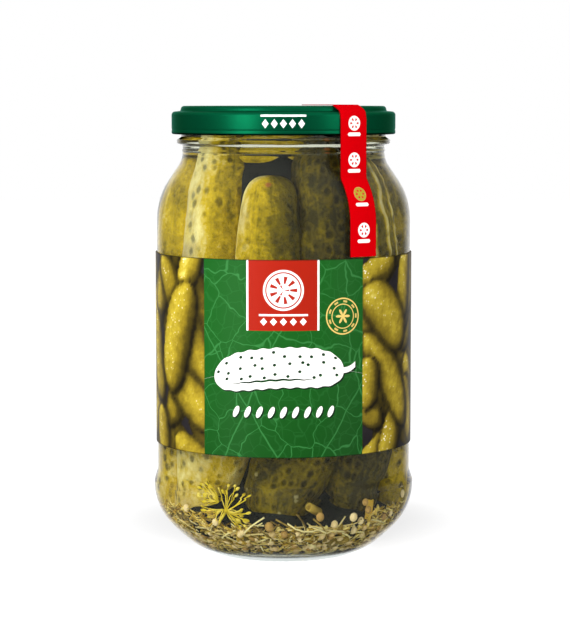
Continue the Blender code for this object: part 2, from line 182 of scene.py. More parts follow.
# Where each gherkin stands, near its place in the solids: the bearings in degrees of its foot and
# head to the right of the front, their heights, the half thickness, the radii of foot and head from
# the jar's axis and the bow, in millimetres. Then its skin: the tone, from 0 for dark to 1 for pale
# and cut off beyond, how much paler its left side is than its middle, which is partly its own pale
# flank and partly painted shade that darkens its right side for the light from the left, the
# height of its warts in millimetres and the depth of its ribs as a share of its radius, where more
# than RIBBED makes wandering ridges whose crests are painted paler, partly as a painted highlight.
# The first LOWER_GHERKINS rows are the lower ring.
GHERKINS = [
    (-66, -36, 13.0, 92.0, 14.0, 29.5, 30.5, 1.5, 0.86, 0.18, 0.30, 0.02),
    (-10, 56, 16.5, 82.0, 15.6, 28.5, 29.5, -1.0, 0.12, 0.06, 0.45, 0.02),
    (43, 62, 18.5, 88.0, 14.5, 30.5, 31.5, 1.0, -0.02, 0.02, 0.20, 0.02),
    (84, 95, 17.5, 86.0, 13.6, 31.0, 32.5, -1.0, 0.55, -0.10, 0.30, 0.05),
    (139, 141, 18.5, 90.0, 13.2, 30.5, 32.0, 1.5, 0.62, 0.10, 0.40, 0.03),
    (184, 180, 17.0, 84.0, 12.4, 31.0, 32.5, -1.0, 0.30, 0.15, 0.35, 0.03),
    (225, 222, 22.0, 92.0, 13.0, 31.0, 32.0, 1.0, 0.78, -0.10, 0.45, 0.02),
    (274, 268, 14.0, 88.0, 13.0, 32.0, 32.5, -1.0, 0.66, -0.05, 0.30, 0.04),
    (-86, -84, 84.0, 149.0, 11.6, 34.0, 29.0, 1.0, 0.62, 0.12, 0.08, 0.01),
    (-51.5, -62, 88.0, 160.0, 10.6, 34.0, 21.5, 1.5, 1.04, 0.62, 0.30, 0.04),
    (-8, -8, 86.0, 142.5, 11.4, 34.0, 31.5, 0.0, 0.44, 0.38, 0.12, 0.02),
    (30, 28, 86.0, 156.0, 11.6, 34.0, 25.0, -1.0, -0.04, 0.10, 0.20, 0.02),
    (60, 58, 84.0, 151.0, 11.4, 34.0, 27.0, 0.5, 0.24, -0.05, 0.20, 0.10),
    (107, 105, 83.0, 147.0, 11.6, 34.0, 28.0, -1.0, 0.30, 0.10, 0.30, 0.03),
    (149, 146, 85.0, 152.0, 12.0, 33.5, 25.0, 1.0, 0.80, 0.10, 0.40, 0.03),
    (191, 190, 82.0, 145.0, 11.8, 33.8, 29.0, 1.0, 0.55, -0.10, 0.20, 0.02),
    (234, 236, 86.0, 151.0, 12.0, 33.5, 26.0, -1.0, 0.26, 0.15, 0.35, 0.03),
    (-48, 40, 150.0, 151.5, 6.5, 22.0, 21.0, 0.0, 0.66, 0.00, 0.10, 0.02),
    (180, 190, 96.0, 154.0, 9.0, 12.0, 11.0, 0.0, 0.50, 0.00, 0.20, 0.02),
]
LOWER_GHERKINS = 8
GHERKIN_BLUNTNESS = 0.55
GHERKIN_SIDES, GHERKIN_RINGS = 96, 88
RIBBED = 0.08
RIDGES = 11
LUMP_HEIGHT = 0.9 * MM
LUMP_SCALE = 110
WARTS = 80
WART_RADIUS = 1.7 * MM
# The warts' height in millimetres from which their tips and the spots show in full.
FULL_WART = 0.4
FULL_SPOTS = 0.25
SCAR_REACH = 0.12
SCAR_TOWARD_GLASS = 0.4
CORE_RADIUS = 27.0 * MM

# How many steps each turned piece has round the axis.
TURN_STEPS = {
    "glass_jar": 216, "brine": 144, "lid_cap": 180, "gherkin_core": 96, "spice_bed": 120,
}
KNURLS = 72
KNURL_RADIUS = 30.0 * MM
KNURL_HEIGHT = 0.32 * MM
INTO_WALL = 0.2 * MM
LID_MARK_HEIGHT = 164.0 * MM

# The sheet of the label, and what is printed on it, in millimetres across from the front's middle
# and up from the lower edge. The heap has columns and rows of gherkins, lit from the upper left.
LABEL_TOP_MM = (LABEL_HIGH.z - LABEL_LOW.z) / MM
LABEL_LAP = 10.0 * MM
LABEL_GRID = (330, 72)
HEAP_GRID = (17, 5)
PICTURE_LIGHT = (-0.38, 0.4, 0.83)
FIELD_TALL = 25.7
FIELD_MIDDLE = -0.2
SLICE_RADIUS = 7.4
BADGE_ACROSS, BADGE_UP = 22.4, 51.4
MARK_ACROSS, MARK_UP = -1.8, 33.0
MARK_HALF_LONG, MARK_HALF_TALL = 24.6, 7.3
SEED_ROW_UP = 16.8
SEED_PITCH = 4.4
# The panel's main veins: where each crosses the lower edge, and how far it leans to the right for
# each millimetre up.
MAIN_VEINS = [(-22.0, 0.45), (-2.0, -0.62), (14.0, 0.62), (-34.0, -0.3), (30.0, 0.35)]
# Marks on the seal strip, in millimetres up from its lower end.
FIRST_STRIP_MARK = 8.4
STRIP_PITCH = 13.3
STRIP_MARKS_END = 55.2

# Seeds of the random draws for the printed heap, the spice bed and the dill head.
HEAP_DRAW, BED_DRAW, DILL_DRAW = 8, 21, 3
BED_DROP = 1.5 * MM
# Loose mustard seeds at the bed's front: bearing in degrees, height in millimetres, share of size.
LOOSE_SEEDS = [
    (-52.0, 21.0, 1.0), (-35.0, 17.5, 1.0), (-23.0, 14.0, 1.05), (-7.0, 16.9, 1.25),
    (0.5, 14.3, 1.0), (17.5, 20.2, 1.15), (25.5, 17.3, 1.0), (35.5, 19.2, 1.15),
    (43.5, 21.2, 1.0), (41.0, 24.0, 0.95), (40.5, 17.6, 1.0), (57.0, 17.6, 0.95),
    (62.0, 18.4, 0.9), (71.0, 24.0, 1.0), (20.5, 13.5, 1.05), (38.5, 14.5, 1.0),
]
# Where the bed is heaped higher against the wall: how many seeds or scraps, over how many radians
# and from which bearing on.
HIGHER_SEEDS = [(26, 3.6, 1.35)]
HIGHER_BITS = [(120, 0.75, -1.35), (70, 0.55, 0.8), (160, 3.0, 1.6)]
# Cut stalks that stand out: bearing in degrees, distance from the axis and height in millimetres,
# tilts in radians about the x and y axes, share of size.
PLACED_STALKS = [(47.0, 40.5, 21.0, 0.0, 0.12, 0.8), (15.5, 39.0, 22.5, 1.15, -0.5, 0.85)]
# Long shreds that lie on the bed: bearing in degrees, height in millimetres, turn in degrees.
LONG_SHREDS = [(10.5, 16.8, 99.0), (-15.5, 15.0, 128.0), (24.0, 16.4, 62.0), (-40.0, 16.0, 118.0)]
DILL_DEPTH = 1.9 * MM
DILL_RAY_LENGTH = 9.2 * MM
DILL_RAY_STEPS = 6
DILL_CLEARANCE = 4.0 * MM
# The rays of the dill head, a row for each spray: its hub's place beside and over the middle, the
# first and last turn of its rays from upright in degrees, and how many rays.
UMBELS = [
    (0.0, 0.0, -25.0, 62.0, 9),
    (0.0, 0.0, 78.0, 152.0, 12),
    (-2.6 * MM, 3.0 * MM, -108.0, -32.0, 13),
    (-1.0 * MM, 0.5 * MM, -150.0, -85.0, 8),
]

LAMPS_LOOK_AT = 85 * MM
# The lamps: bearing in degrees to the right of the front, distance, height, then width and height
# in metres, share of the power that its setting gives, and whether it only shows in reflections.
LAMPS = [
    ("key", -50, 0.95, 0.5, (0.4, 0.9), 1.0, False),
    ("fill", 56, 0.95, 0.42, (0.5, 0.9), 1.0, False),
    ("front", -8, 1.1, 0.36, (0.6, 0.5), 1.0, False),
    ("top", -10, 0.3, 1.1, (0.9, 0.9), 1.0, False),
    ("left glow", -39, 0.95, 0.3, (0.5, 1.1), 1.0, True),
    ("right glow", 54, 0.95, 0.3, (0.3, 1.1), 0.4, True),
]
FLOOR_GLOW = 1.1
# Painted shadow on the floor: its brightness next to the jar, and how far behind the jar the
# painted shade is centred.
FLOOR_SHADE = 0.74
SHADE_BEHIND = 60 * MM


class Value:
    """A number in a material: each Python operator adds a Math node to the same tree."""

    def __init__(self, paint, socket):
        self.paint = paint
        self.socket = socket

    def maths(self, operation, *others):
        sockets = dict(enumerate((self, *others)))
        return self.paint.node("ShaderNodeMath", {"operation": operation}, sockets)

    @staticmethod
    def math_node(operation):
        """A method that adds a Math node of one kind."""

        def method(self, *others):
            return self.maths(operation, *others)

        return method

    __add__ = __radd__ = math_node("ADD")
    __sub__ = math_node("SUBTRACT")
    __mul__ = __rmul__ = math_node("MULTIPLY")
    __truediv__ = math_node("DIVIDE")
    __pow__ = math_node("POWER")
    __abs__ = math_node("ABSOLUTE")
    least = math_node("MINIMUM")
    most = math_node("MAXIMUM")
    root = math_node("SQRT")
    wave = math_node("COSINE")
    part = math_node("FRACT")
    bearing = math_node("ARCTAN2")

    def __neg__(self):
        return self * -1.0

    def __rsub__(self, other):
        return -self + other

    def rise(self, low, high):
        """A smooth step from 0 at low to 1 at high, which falls where low is the larger."""
        settings = {"interpolation_type": "SMOOTHSTEP"}
        sockets = {"Value": self, "From Min": min(low, high), "From Max": max(low, high)}
        if low > high:
            sockets |= {"To Min": 1.0, "To Max": 0.0}
        return self.paint.node("ShaderNodeMapRange", settings, sockets)

    def repeat(self, pitch):
        """The distance from the middle of a mark that comes again every pitch."""
        return ((self / pitch + 0.5).part() - 0.5) * pitch


class Paint:
    """A material, world or lamp under construction, with a method for each node that recurs."""

    def __init__(self, holder):
        holder.use_nodes = True
        self.material = holder
        self.tree = holder.node_tree
        self.shader = self.tree.nodes.get("Principled BSDF")

    def node(self, kind, settings=None, sockets=None, output=0):
        """Adds a node, sets it up, fills or links its sockets and returns one output."""
        made = self.tree.nodes.new(kind)
        for name, value in (settings or {}).items():
            if name == "stops":
                self.set_stops(made.color_ramp, value)
            else:
                setattr(made, name, value)
        for key, value in (sockets or {}).items():
            self.feed(made.inputs[key], value)
        return Value(self, made.outputs[output])

    def feed(self, socket, value):
        if isinstance(value, Value):
            self.tree.links.new(value.socket, socket)
        elif socket.type == "RGBA" and len(value) == 3:
            socket.default_value = (*value, 1.0)
        else:
            socket.default_value = value

    @staticmethod
    def set_stops(ramp, stops):
        while len(ramp.elements) < len(stops):
            ramp.elements.new(1.0)
        for element, (place, shade) in zip(ramp.elements, stops):
            element.position = place
            element.color = (*shade, 1.0)

    def principled(self, **sockets):
        for name, value in sockets.items():
            self.feed(self.shader.inputs[name.replace("_", " ")], value)

    def blend(self, share, shader):
        """Mixes a second shader over the first one by its share."""
        first = self.shader.outputs["BSDF"]
        both = self.node("ShaderNodeMixShader", None, {0: share, 1: Value(self, first), 2: shader})
        self.feed(self.tree.nodes["Material Output"].inputs["Surface"], both)

    def mix(self, share, first, second, blend="MIX"):
        settings = {"data_type": "RGBA", "blend_type": blend}
        return self.node("ShaderNodeMix", settings, {0: share, 6: first, 7: second}, output=2)

    def ramp(self, value, *stops):
        return self.node("ShaderNodeValToRGB", {"stops": stops}, {"Fac": value})

    def place(self):
        return self.node("ShaderNodeTexCoord", output="Object")

    def split(self, vector):
        """The three parts of a vector."""
        first = self.node("ShaderNodeSeparateXYZ", None, {"Vector": vector})
        outputs = first.socket.node.outputs
        return [Value(self, outputs[index]) for index in range(3)]

    def join(self, x, y, z=0.0):
        return self.node("ShaderNodeCombineXYZ", None, {"X": x, "Y": y, "Z": z})

    def attribute(self, name, output="Fac"):
        return self.node("ShaderNodeAttribute", {"attribute_name": name}, output=output)

    def noise(self, vector, scale, detail=3.0, roughness=0.5, distortion=0.0):
        sockets = {
            "Vector": vector, "Scale": scale, "Detail": detail,
            "Roughness": roughness, "Distortion": distortion,
        }
        return self.node("ShaderNodeTexNoise", None, sockets, output="Fac")

    def cells(self, vector, scale, feature="F1", randomness=1.0, output="Distance", flat=False):
        sockets = {"Vector": vector, "Scale": scale, "Randomness": randomness}
        settings = {"feature": feature, "voronoi_dimensions": "2D" if flat else "3D"}
        return self.node("ShaderNodeTexVoronoi", settings, sockets, output=output)

    def stretched(self, vector, scale):
        """The same coordinates, with each axis scaled."""
        return self.node("ShaderNodeMapping", None, {"Vector": vector, "Scale": scale})

    def bump(self, height, distance, strength=1.0):
        sockets = {"Height": height, "Distance": distance, "Strength": strength}
        normal = self.node("ShaderNodeBump", None, sockets, output="Normal")
        self.principled(Normal=normal)


def rounded(corners, arc_degrees=8):
    """An outline from (radius, height, fillet) corners, where each fillet becomes an arc."""
    outline = [Vector(corners[0][:2])]
    for before, corner, after in zip(corners, corners[1:], corners[2:]):
        point = Vector(corner[:2])
        fillet = corner[2]
        if fillet == 0:
            outline.append(point)
            continue
        back = (Vector(before[:2]) - point).normalized()
        ahead = (Vector(after[:2]) - point).normalized()
        half = back.angle(ahead) / 2
        centre = point + (back + ahead).normalized() * fillet / math.sin(half)
        start = point + back * fillet / math.tan(half) - centre
        turn = (point + ahead * fillet / math.tan(half) - centre).angle_signed(start)
        steps = max(2, math.ceil(abs(turn) / math.radians(arc_degrees)))
        for step in range(steps + 1):
            outline.append(centre + Matrix.Rotation(turn * step / steps, 2) @ start)
    outline.append(Vector(corners[-1][:2]))
    return outline


def on_ring(bearing, radius, height):
    """A point at a bearing in radians to the right of the front."""
    return Vector((radius * math.sin(bearing), -radius * math.cos(bearing), height))


def rings_at(bearing, radius, height):
    """The same for arrays, as rows of points."""
    return np.stack([radius * np.sin(bearing), -radius * np.cos(bearing), height], axis=1)


def deselect():
    bpy.ops.object.select_all(action="DESELECT")


def activate(obj):
    deselect()
    obj.select_set(True)
    bpy.context.view_layer.objects.active = obj


def select_all():
    bpy.ops.mesh.select_all(action="SELECT")


def begin_edit(obj):
    """Opens a mesh for editing, with all of it selected."""
    activate(obj)
    bpy.ops.object.mode_set(mode="EDIT")
    bpy.ops.mesh.select_mode(type="VERT")
    select_all()


def added(name):
    """The object that was just added or joined, under its name."""
    piece = bpy.context.object
    piece.name = name
    return piece


def end_edit():
    bpy.ops.object.mode_set(mode="OBJECT")


def apply_modifier(obj, kind, **settings):
    activate(obj)
    modifier = obj.modifiers.new(kind.title(), kind)
    for name, value in settings.items():
        setattr(modifier, name, value)
    bpy.ops.object.modifier_apply(modifier=modifier.name)


def turned(name, outline):
    """Spins an outline, which starts and ends on the axis, once round the jar's axis."""
    deselect()
    bpy.ops.mesh.primitive_plane_add(size=1 * MM, location=(outline[0].x, 0, outline[0].y))
    piece = added(name)
    bpy.ops.object.transform_apply()
    begin_edit(piece)
    bpy.ops.mesh.merge(type="CENTER")
    for here, there in zip(outline, outline[1:]):
        move = (there.x - here.x, 0, there.y - here.y)
        bpy.ops.mesh.extrude_region_move(TRANSFORM_OT_translate={"value": move})
    select_all()
    bpy.ops.mesh.spin(steps=TURN_STEPS[name], angle=math.tau, center=(0, 0, 0), axis=(0, 0, 1))
    select_all()
    bpy.ops.mesh.remove_doubles(threshold=WELD)
    select_all()
    bpy.ops.mesh.normals_make_consistent(inside=False)
    end_edit()
    piece.data.shade_smooth()
    return piece


def points_of(obj):
    points = np.empty(len(obj.data.vertices) * 3, np.float32)
    obj.data.vertices.foreach_get("co", points)
    return points.reshape(-1, 3).astype(float)


def set_points(obj, points):
    obj.data.vertices.foreach_set("co", points.astype(np.float32).ravel())
    obj.data.update()


def set_attribute(obj, name, values):
    """A number, or a vector where the values are rows of three, at each point of a mesh."""
    values = np.asarray(values, np.float32)
    kind, key = ("FLOAT", "value") if values.ndim == 1 else ("FLOAT_VECTOR", "vector")
    attribute = obj.data.attributes.new(name, kind, "POINT")
    attribute.data.foreach_set(key, values.ravel())


def swell_of(points, scale):
    """Soft noise at each point, from about -1 to 1."""
    return np.array([noise.noise(Vector(point) * scale) for point in points])


def joined(name, pieces):
    """One object of several, made with the join operator."""
    activate(pieces[0])
    for piece in pieces:
        piece.select_set(True)
    bpy.ops.object.join()
    return added(name)


def finish_piece(obj, material, slot, *nodes):
    """Gives a piece its material, lets it ride on the jar and hides the parts that it stands for.
    """
    obj.data.materials.clear()
    obj.data.materials.append(material)
    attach(obj, "root")
    if nodes:
        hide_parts(*nodes)


def inner_wall(glass):
    """The inside of the glass from the middle of the floor up to the mouth."""
    inner_body = glass.body - glass.wall
    inner_neck = glass.neck - glass.wall
    top = GLASS_HIGH.z
    return rounded(
        [
            (0.0, glass.floor + 0.6 * glass.push_up, 0),
            (21 * MM, glass.floor + 0.6 * glass.push_up, 12 * MM),
            (29 * MM, glass.floor, 14 * MM),
            (inner_body, 17.5 * MM, 17 * MM),
            (inner_body, glass.shoulder - 0.7 * MM, 24 * MM),
            (inner_neck, glass.neck_corner + 0.6 * MM, 12 * MM),
            (inner_neck, top, 0.9 * MM),
            (glass.mouth - 1 * MM, top, 0),
        ]
    )


def outer_wall(glass):
    """The outside of the glass from the mouth down to the middle of the base."""
    top = GLASS_HIGH.z
    rib = 0.25 * MM
    return rounded(
        [
            (glass.mouth - 1 * MM, top, 0),
            (glass.mouth, top, 0.7 * MM),
            (glass.mouth - 0.4 * MM, 158.1 * MM, 0.6 * MM),
            (glass.bead, 157.1 * MM, 0.7 * MM),
            (glass.bead, 155.5 * MM, 0.7 * MM),
            (glass.neck, 155.0 * MM, 0.5 * MM),
            (glass.neck, 153.6 * MM, 0.5 * MM),
            (glass.neck + rib, 153.0 * MM, 0.5 * MM),
            (glass.neck, 152.4 * MM, 0.5 * MM),
            (glass.neck, glass.neck_corner, 9 * MM),
            (glass.body, glass.shoulder, 26 * MM),
            (glass.body, 31.5 * MM, 4 * MM),
            (glass.heel, 27.2 * MM, 1.5 * MM),
            (glass.heel, 16.7 * MM, 22 * MM),
            (34.8 * MM, 2.5 * MM, 29 * MM),
            (27.9 * MM, 0.0, 0.8 * MM),
            (24.5 * MM, 0.0, 0.8 * MM),
            (18 * MM, glass.push_up, 10 * MM),
            (0.0, glass.push_up, 0),
        ]
    )


def wall_limits(glass):
    """Heights and the largest radii that the contents may reach there."""
    wall = inner_wall(glass)
    heights = np.array([point.y for point in wall])
    radii = np.array([point.x for point in wall]) - CONTENTS_GAP
    rising = np.maximum.accumulate(heights) + np.arange(len(heights)) * 1e-9
    return rising, radii


def wall_radius(glass, height):
    return float(np.interp(height, *wall_limits(glass)))


def press_in(points, glass, gap):
    """Whatever would cross the glass, or come nearer than the gap, is pressed flat there."""
    limit = np.interp(points[:, 2], *wall_limits(glass)) - gap
    radius = np.hypot(points[:, 0], points[:, 1])
    over = radius > limit
    points[over, :2] *= (limit[over] / radius[over])[:, None]


def dill_notch(points, glass, contents):
    """How far the gherkins stand back from the glass round the dill head."""
    bearing = np.arctan2(points[:, 0], -points[:, 1]) - contents.dill_bearing
    reach = np.hypot(bearing * glass.body, points[:, 2] - contents.dill_height)
    reach /= DILL_RAY_LENGTH + 5 * MM
    return DILL_CLEARANCE * np.clip(3.0 - 2.5 * reach, 0.0, 1.0)


def glass_paint(glass):
    """Clear glass, frosted white on the knurled ring that the jar stands on."""
    paint = Paint(bpy.data.materials.new("clear glass"))
    place = paint.place()
    waves = paint.noise(paint.stretched(place, (1.0, 1.0, 0.5)), 60.0, 2.0)
    tint = (0.35, 0.35, 0.35, 1.0)
    paint.principled(Roughness=0.0, IOR=1.5, Transmission_Weight=1.0, Specular_Tint=tint)
    paint.principled(Base_Color=glass.tint)
    paint.bump(waves, 0.15 * MM, 0.35)
    _, _, height = paint.split(place)
    frosted = {"Base Color": srgb(232, 240, 238), "Roughness": 0.6}
    frost = paint.node("ShaderNodeBsdfPrincipled", None, frosted)
    paint.blend(height.rise(3.2 * MM, 1.8 * MM) * 0.7, frost)
    return paint.material


def brine_paint(glass):
    paint = Paint(bpy.data.materials.new("brine"))
    paint.principled(
        Roughness=0.0, IOR=1.335, Transmission_Weight=1.0, Specular_Tint=(0.0, 0.0, 0.0, 1.0)
    )
    cloud = paint.noise(paint.place(), 25.0, 2.0)
    clear = glass.brine
    cloudy = tuple(value * 0.985 for value in clear)
    paint.principled(Base_Color=paint.mix(cloud, clear, cloudy))
    return paint.material


class JAR_OT_glass(bpy.types.Operator):
    """Turn the glass jar, with the knurled ring that it stands on"""

    bl_idname = "jar.glass"
    bl_label = "Glass Jar"

    def execute(self, context):
        glass = context.scene.jar_glass
        outline = inner_wall(glass)[:-1] + outer_wall(glass)
        piece = turned("glass_jar", outline)
        points = points_of(piece)
        radius = np.hypot(points[:, 0], points[:, 1])
        bearing = np.arctan2(points[:, 1], points[:, 0])
        ring = np.exp(-((radius - KNURL_RADIUS) / (1.8 * MM)) ** 2) * (points[:, 2] < 2.4 * MM)
        points[:, 2] += ring * KNURL_HEIGHT / 2 * (1 + np.cos(KNURLS * bearing))
        set_points(piece, points)
        piece.visible_shadow = False
        finish_piece(piece, glass_paint(glass), "glass", "jar_glass")
        return {"FINISHED"}


class JAR_OT_brine(bpy.types.Operator):
    """Fill the jar with brine, which reaches just into the glass"""

    bl_idname = "jar.brine"
    bl_label = "Brine"

    def execute(self, context):
        glass = context.scene.jar_glass
        wall = [point for point in inner_wall(glass) if point.y < glass.brine_top]
        side = [Vector((point.x + INTO_WALL, point.y)) for point in wall[1:]]
        side = [Vector((0.0, wall[0].y - INTO_WALL))] + side
        for point in side:
            if point.x < glass.body - glass.wall - 1 * MM and point.y < 16 * MM:
                point.y -= INTO_WALL
        neck = side[-1].x
        side.append(Vector((neck, glass.brine_top)))
        side.append(Vector((0.0, glass.brine_top)))
        piece = turned("brine", side)
        piece.visible_shadow = False
        finish_piece(piece, brine_paint(glass), "glass")
        return {"FINISHED"}


def lid_paint(lid):
    """Green lacquer with a row of pale lozenges under a rule in front, and painted shade along the
    curl.
    """
    paint = Paint(bpy.data.materials.new("green lacquer"))
    x, y, z = paint.split(paint.place())
    along = x.bearing(-y) * LID_HIGH.x
    speckle = paint.noise(paint.place(), 900.0, 2.0)
    cloud = paint.noise(paint.place(), 30.0, 2.0)
    body = paint.mix(cloud * 0.25, lid.paint, lid.light_paint)
    front = (-y).rise(0.0, 0.01)
    # Painted shade: the lacquer darkens to near black along the curl at the skirt's lower edge,
    # where the curl turns under.
    body = paint.mix(z.rise(LID_LOW.z + 0.9 * MM, LID_LOW.z + 0.4 * MM), body, srgb(2, 18, 12))
    above = z - LID_MARK_HEIGHT
    rule = abs(along).rise(8.4 * MM, 8.2 * MM) * abs(above - 2.3 * MM).rise(0.45 * MM, 0.3 * MM)
    lozenge = abs(along.repeat(3.3 * MM)) + abs(above + 0.6 * MM) * 0.75
    row = lozenge.rise(1.35 * MM, 1.15 * MM) * abs(along).rise(8.35 * MM, 8.2 * MM)
    mark = front * rule.most(row)
    paint.principled(
        Base_Color=paint.mix(mark, body, lid.mark),
        Roughness=0.36 + speckle * 0.08,
        Metallic=0.9 * (1.0 - mark),
        Specular_IOR_Level=0.35,
        Specular_Tint=(0.05, 0.42, 0.38, 1.0),
    )
    paint.bump(speckle, 0.03 * MM, 0.4)
    return paint.material


class JAR_OT_lid(bpy.types.Operator):
    """Turn the sheet-metal lid: button, deck, step, skirt and curl"""

    bl_idname = "jar.lid"
    bl_label = "Twist-off Lid"

    def execute(self, context):
        lid = context.scene.jar_lid
        top = LID_HIGH.z
        bottom = LID_LOW.z
        rim = LID_HIGH.x
        button = top - 0.5 * MM
        sheet = lid.sheet
        corners = [
            (0.0, button, 0),
            (lid.button, button, 2 * MM),
            (lid.button + 1.5 * MM, top, 2 * MM),
            (lid.deck, top, 1.3 * MM),
            (lid.deck + 0.4 * MM, lid.step, 0.5 * MM),
            (rim, lid.step - 0.3 * MM, 1.4 * MM),
            (rim, bottom + 2.2 * MM, 0.6 * MM),
            (rim - 0.15 * MM, bottom + 1.7 * MM, 0.5 * MM),
            (rim, bottom + 1.2 * MM, 0.5 * MM),
            (rim, bottom, 0.6 * MM),
            (rim - 1.5 * MM, bottom, 0.7 * MM),
            (rim - 1.5 * MM, bottom + 1.4 * MM, 0.3 * MM),
            (rim - sheet, bottom + 1.6 * MM, 0.2 * MM),
            (rim - sheet, lid.step - sheet, 0.6 * MM),
            (lid.deck - 0.4 * MM, lid.step - sheet, 0.1 * MM),
            (lid.deck - sheet, top - sheet, 0.6 * MM),
            (lid.button + 1.5 * MM, top - sheet, 1 * MM),
            (lid.button, button - sheet, 1 * MM),
            (0.0, button - sheet, 0),
        ]
        piece = turned("lid_cap", rounded(corners, 12))
        finish_piece(piece, lid_paint(lid), "lid_green", "lid")
        return {"FINISHED"}


def grid(name, columns, rows):
    """A flat grid, with how far across and up it each point is, as shares from 0 to 1."""
    deselect()
    bpy.ops.mesh.primitive_grid_add(x_subdivisions=columns, y_subdivisions=rows, size=2)
    piece = added(name)
    flat = points_of(piece)
    return piece, (flat[:, 0] + 1) / 2, (flat[:, 1] + 1) / 2


def thicken(piece, thickness):
    apply_modifier(piece, "SOLIDIFY", thickness=thickness, offset=1.0, use_even_offset=False)
    begin_edit(piece)
    bpy.ops.mesh.normals_make_consistent(inside=False)
    end_edit()
    piece.data.shade_smooth()
    activate(piece)
    bpy.ops.object.shade_smooth_by_angle(angle=math.radians(40))


# Printed gherkins that show beside the panel in front, the last ones on top: place across and up
# the sheet in millimetres, turn from upright in degrees, then half length, half width and bow in
# millimetres.
PICTURED_GHERKINS = [
    (-58.0, 62.0, 20.0, 15.0, 7.0, 1.0), (-62.0, 34.0, -14.0, 18.0, 7.5, -2.0),
    (-51.0, 60.0, -34.0, 14.0, 6.6, 1.5), (-38.0, 69.0, 24.0, 10.0, 6.0, 0.0),
    (-58.0, 6.0, -12.0, 10.0, 6.6, 0.0), (-37.0, -1.0, -60.0, 12.0, 6.4, 0.0),
    (58.5, 62.0, 6.0, 14.0, 6.4, -1.0), (37.5, 67.0, 58.0, 14.0, 7.0, 1.0),
    (61.0, 14.0, -20.0, 14.0, 7.0, 2.0), (46.0, 5.0, 22.0, 12.0, 6.6, 1.0),
    (45.0, 26.0, -36.0, 23.0, 7.4, 2.0), (44.0, 50.0, -46.0, 17.0, 9.4, 1.0),
    (33.5, 26.0, 4.0, 10.0, 6.2, 0.0), (-37.5, 19.0, -52.0, 16.0, 7.6, 1.0),
    (-44.0, 42.0, 15.0, 22.0, 9.4, -2.0),
]


def pictured_gherkins(across, up, half_panel, girth, tall):
    """The printed heap beside the panel: depth inside an edge, light and tone at each point."""
    draw = random.Random(HEAP_DRAW)
    edge = np.full(len(across), -3.0)
    light = np.zeros(len(across))
    tone = np.zeros(len(across))
    around = np.where(across < 0, across + girth, across)
    columns, rows = HEAP_GRID
    start = half_panel - 8
    step = (girth - 2 * half_panel + 16) / columns
    places = [(column, row) for column in range(columns) for row in range(rows)]
    draw.shuffle(places)
    heap = []
    for column, row in places:
        middle_u = start + step * (column + 0.5 + draw.uniform(-0.4, 0.4))
        middle_v = tall * (row + 0.5 + draw.uniform(-0.5, 0.5)) / rows
        tilt = draw.choice((-1, 1)) * draw.uniform(4, 58)
        half_long, half_wide = draw.uniform(15.0, 25.0), draw.uniform(6.0, 8.2)
        heap.append((middle_u, middle_v, tilt, half_long, half_wide, draw.uniform(-3.0, 3.0)))
    for middle_u, middle_v, tilt, half_long, half_wide, bow in heap + PICTURED_GHERKINS:
        middle_u = middle_u if middle_u > 0 else middle_u + girth
        own_tone = draw.uniform(0.2, 1.0)
        tilt = math.radians(tilt)
        u = around - middle_u
        v = up - middle_v
        along = u * math.sin(tilt) + v * math.cos(tilt)
        side = u * math.cos(tilt) - v * math.sin(tilt)
        reach = along / half_long
        past = np.maximum(np.abs(reach) - 1, 0) * half_long
        side = side - bow * (1 - np.minimum(reach**2, 1))
        width = half_wide * np.sqrt(np.clip(1 - np.abs(reach) ** 2.8, 0, None))
        inside_by = width - np.abs(side) - past
        nx = np.clip(side / np.maximum(width, 0.3), -1, 1)
        ny = np.clip(np.sign(reach) * np.abs(reach) ** 4, -1, 1)
        nz = np.sqrt(np.clip(1 - nx**2 - ny**2, 0, 1))
        turn_x = nx * math.cos(tilt) + ny * math.sin(tilt)
        turn_y = -nx * math.sin(tilt) + ny * math.cos(tilt)
        lit = np.clip(np.dot(PICTURE_LIGHT, (turn_x, turn_y, nz)), 0, 1)
        light *= 1 - 0.75 * np.exp(np.minimum(inside_by, 0) / 1.8)
        edge = np.maximum(edge, np.minimum(inside_by, 0))
        over = inside_by > 0
        edge[over] = inside_by[over]
        light[over] = lit[over]
        tone[over] = own_tone
    return edge, light, tone


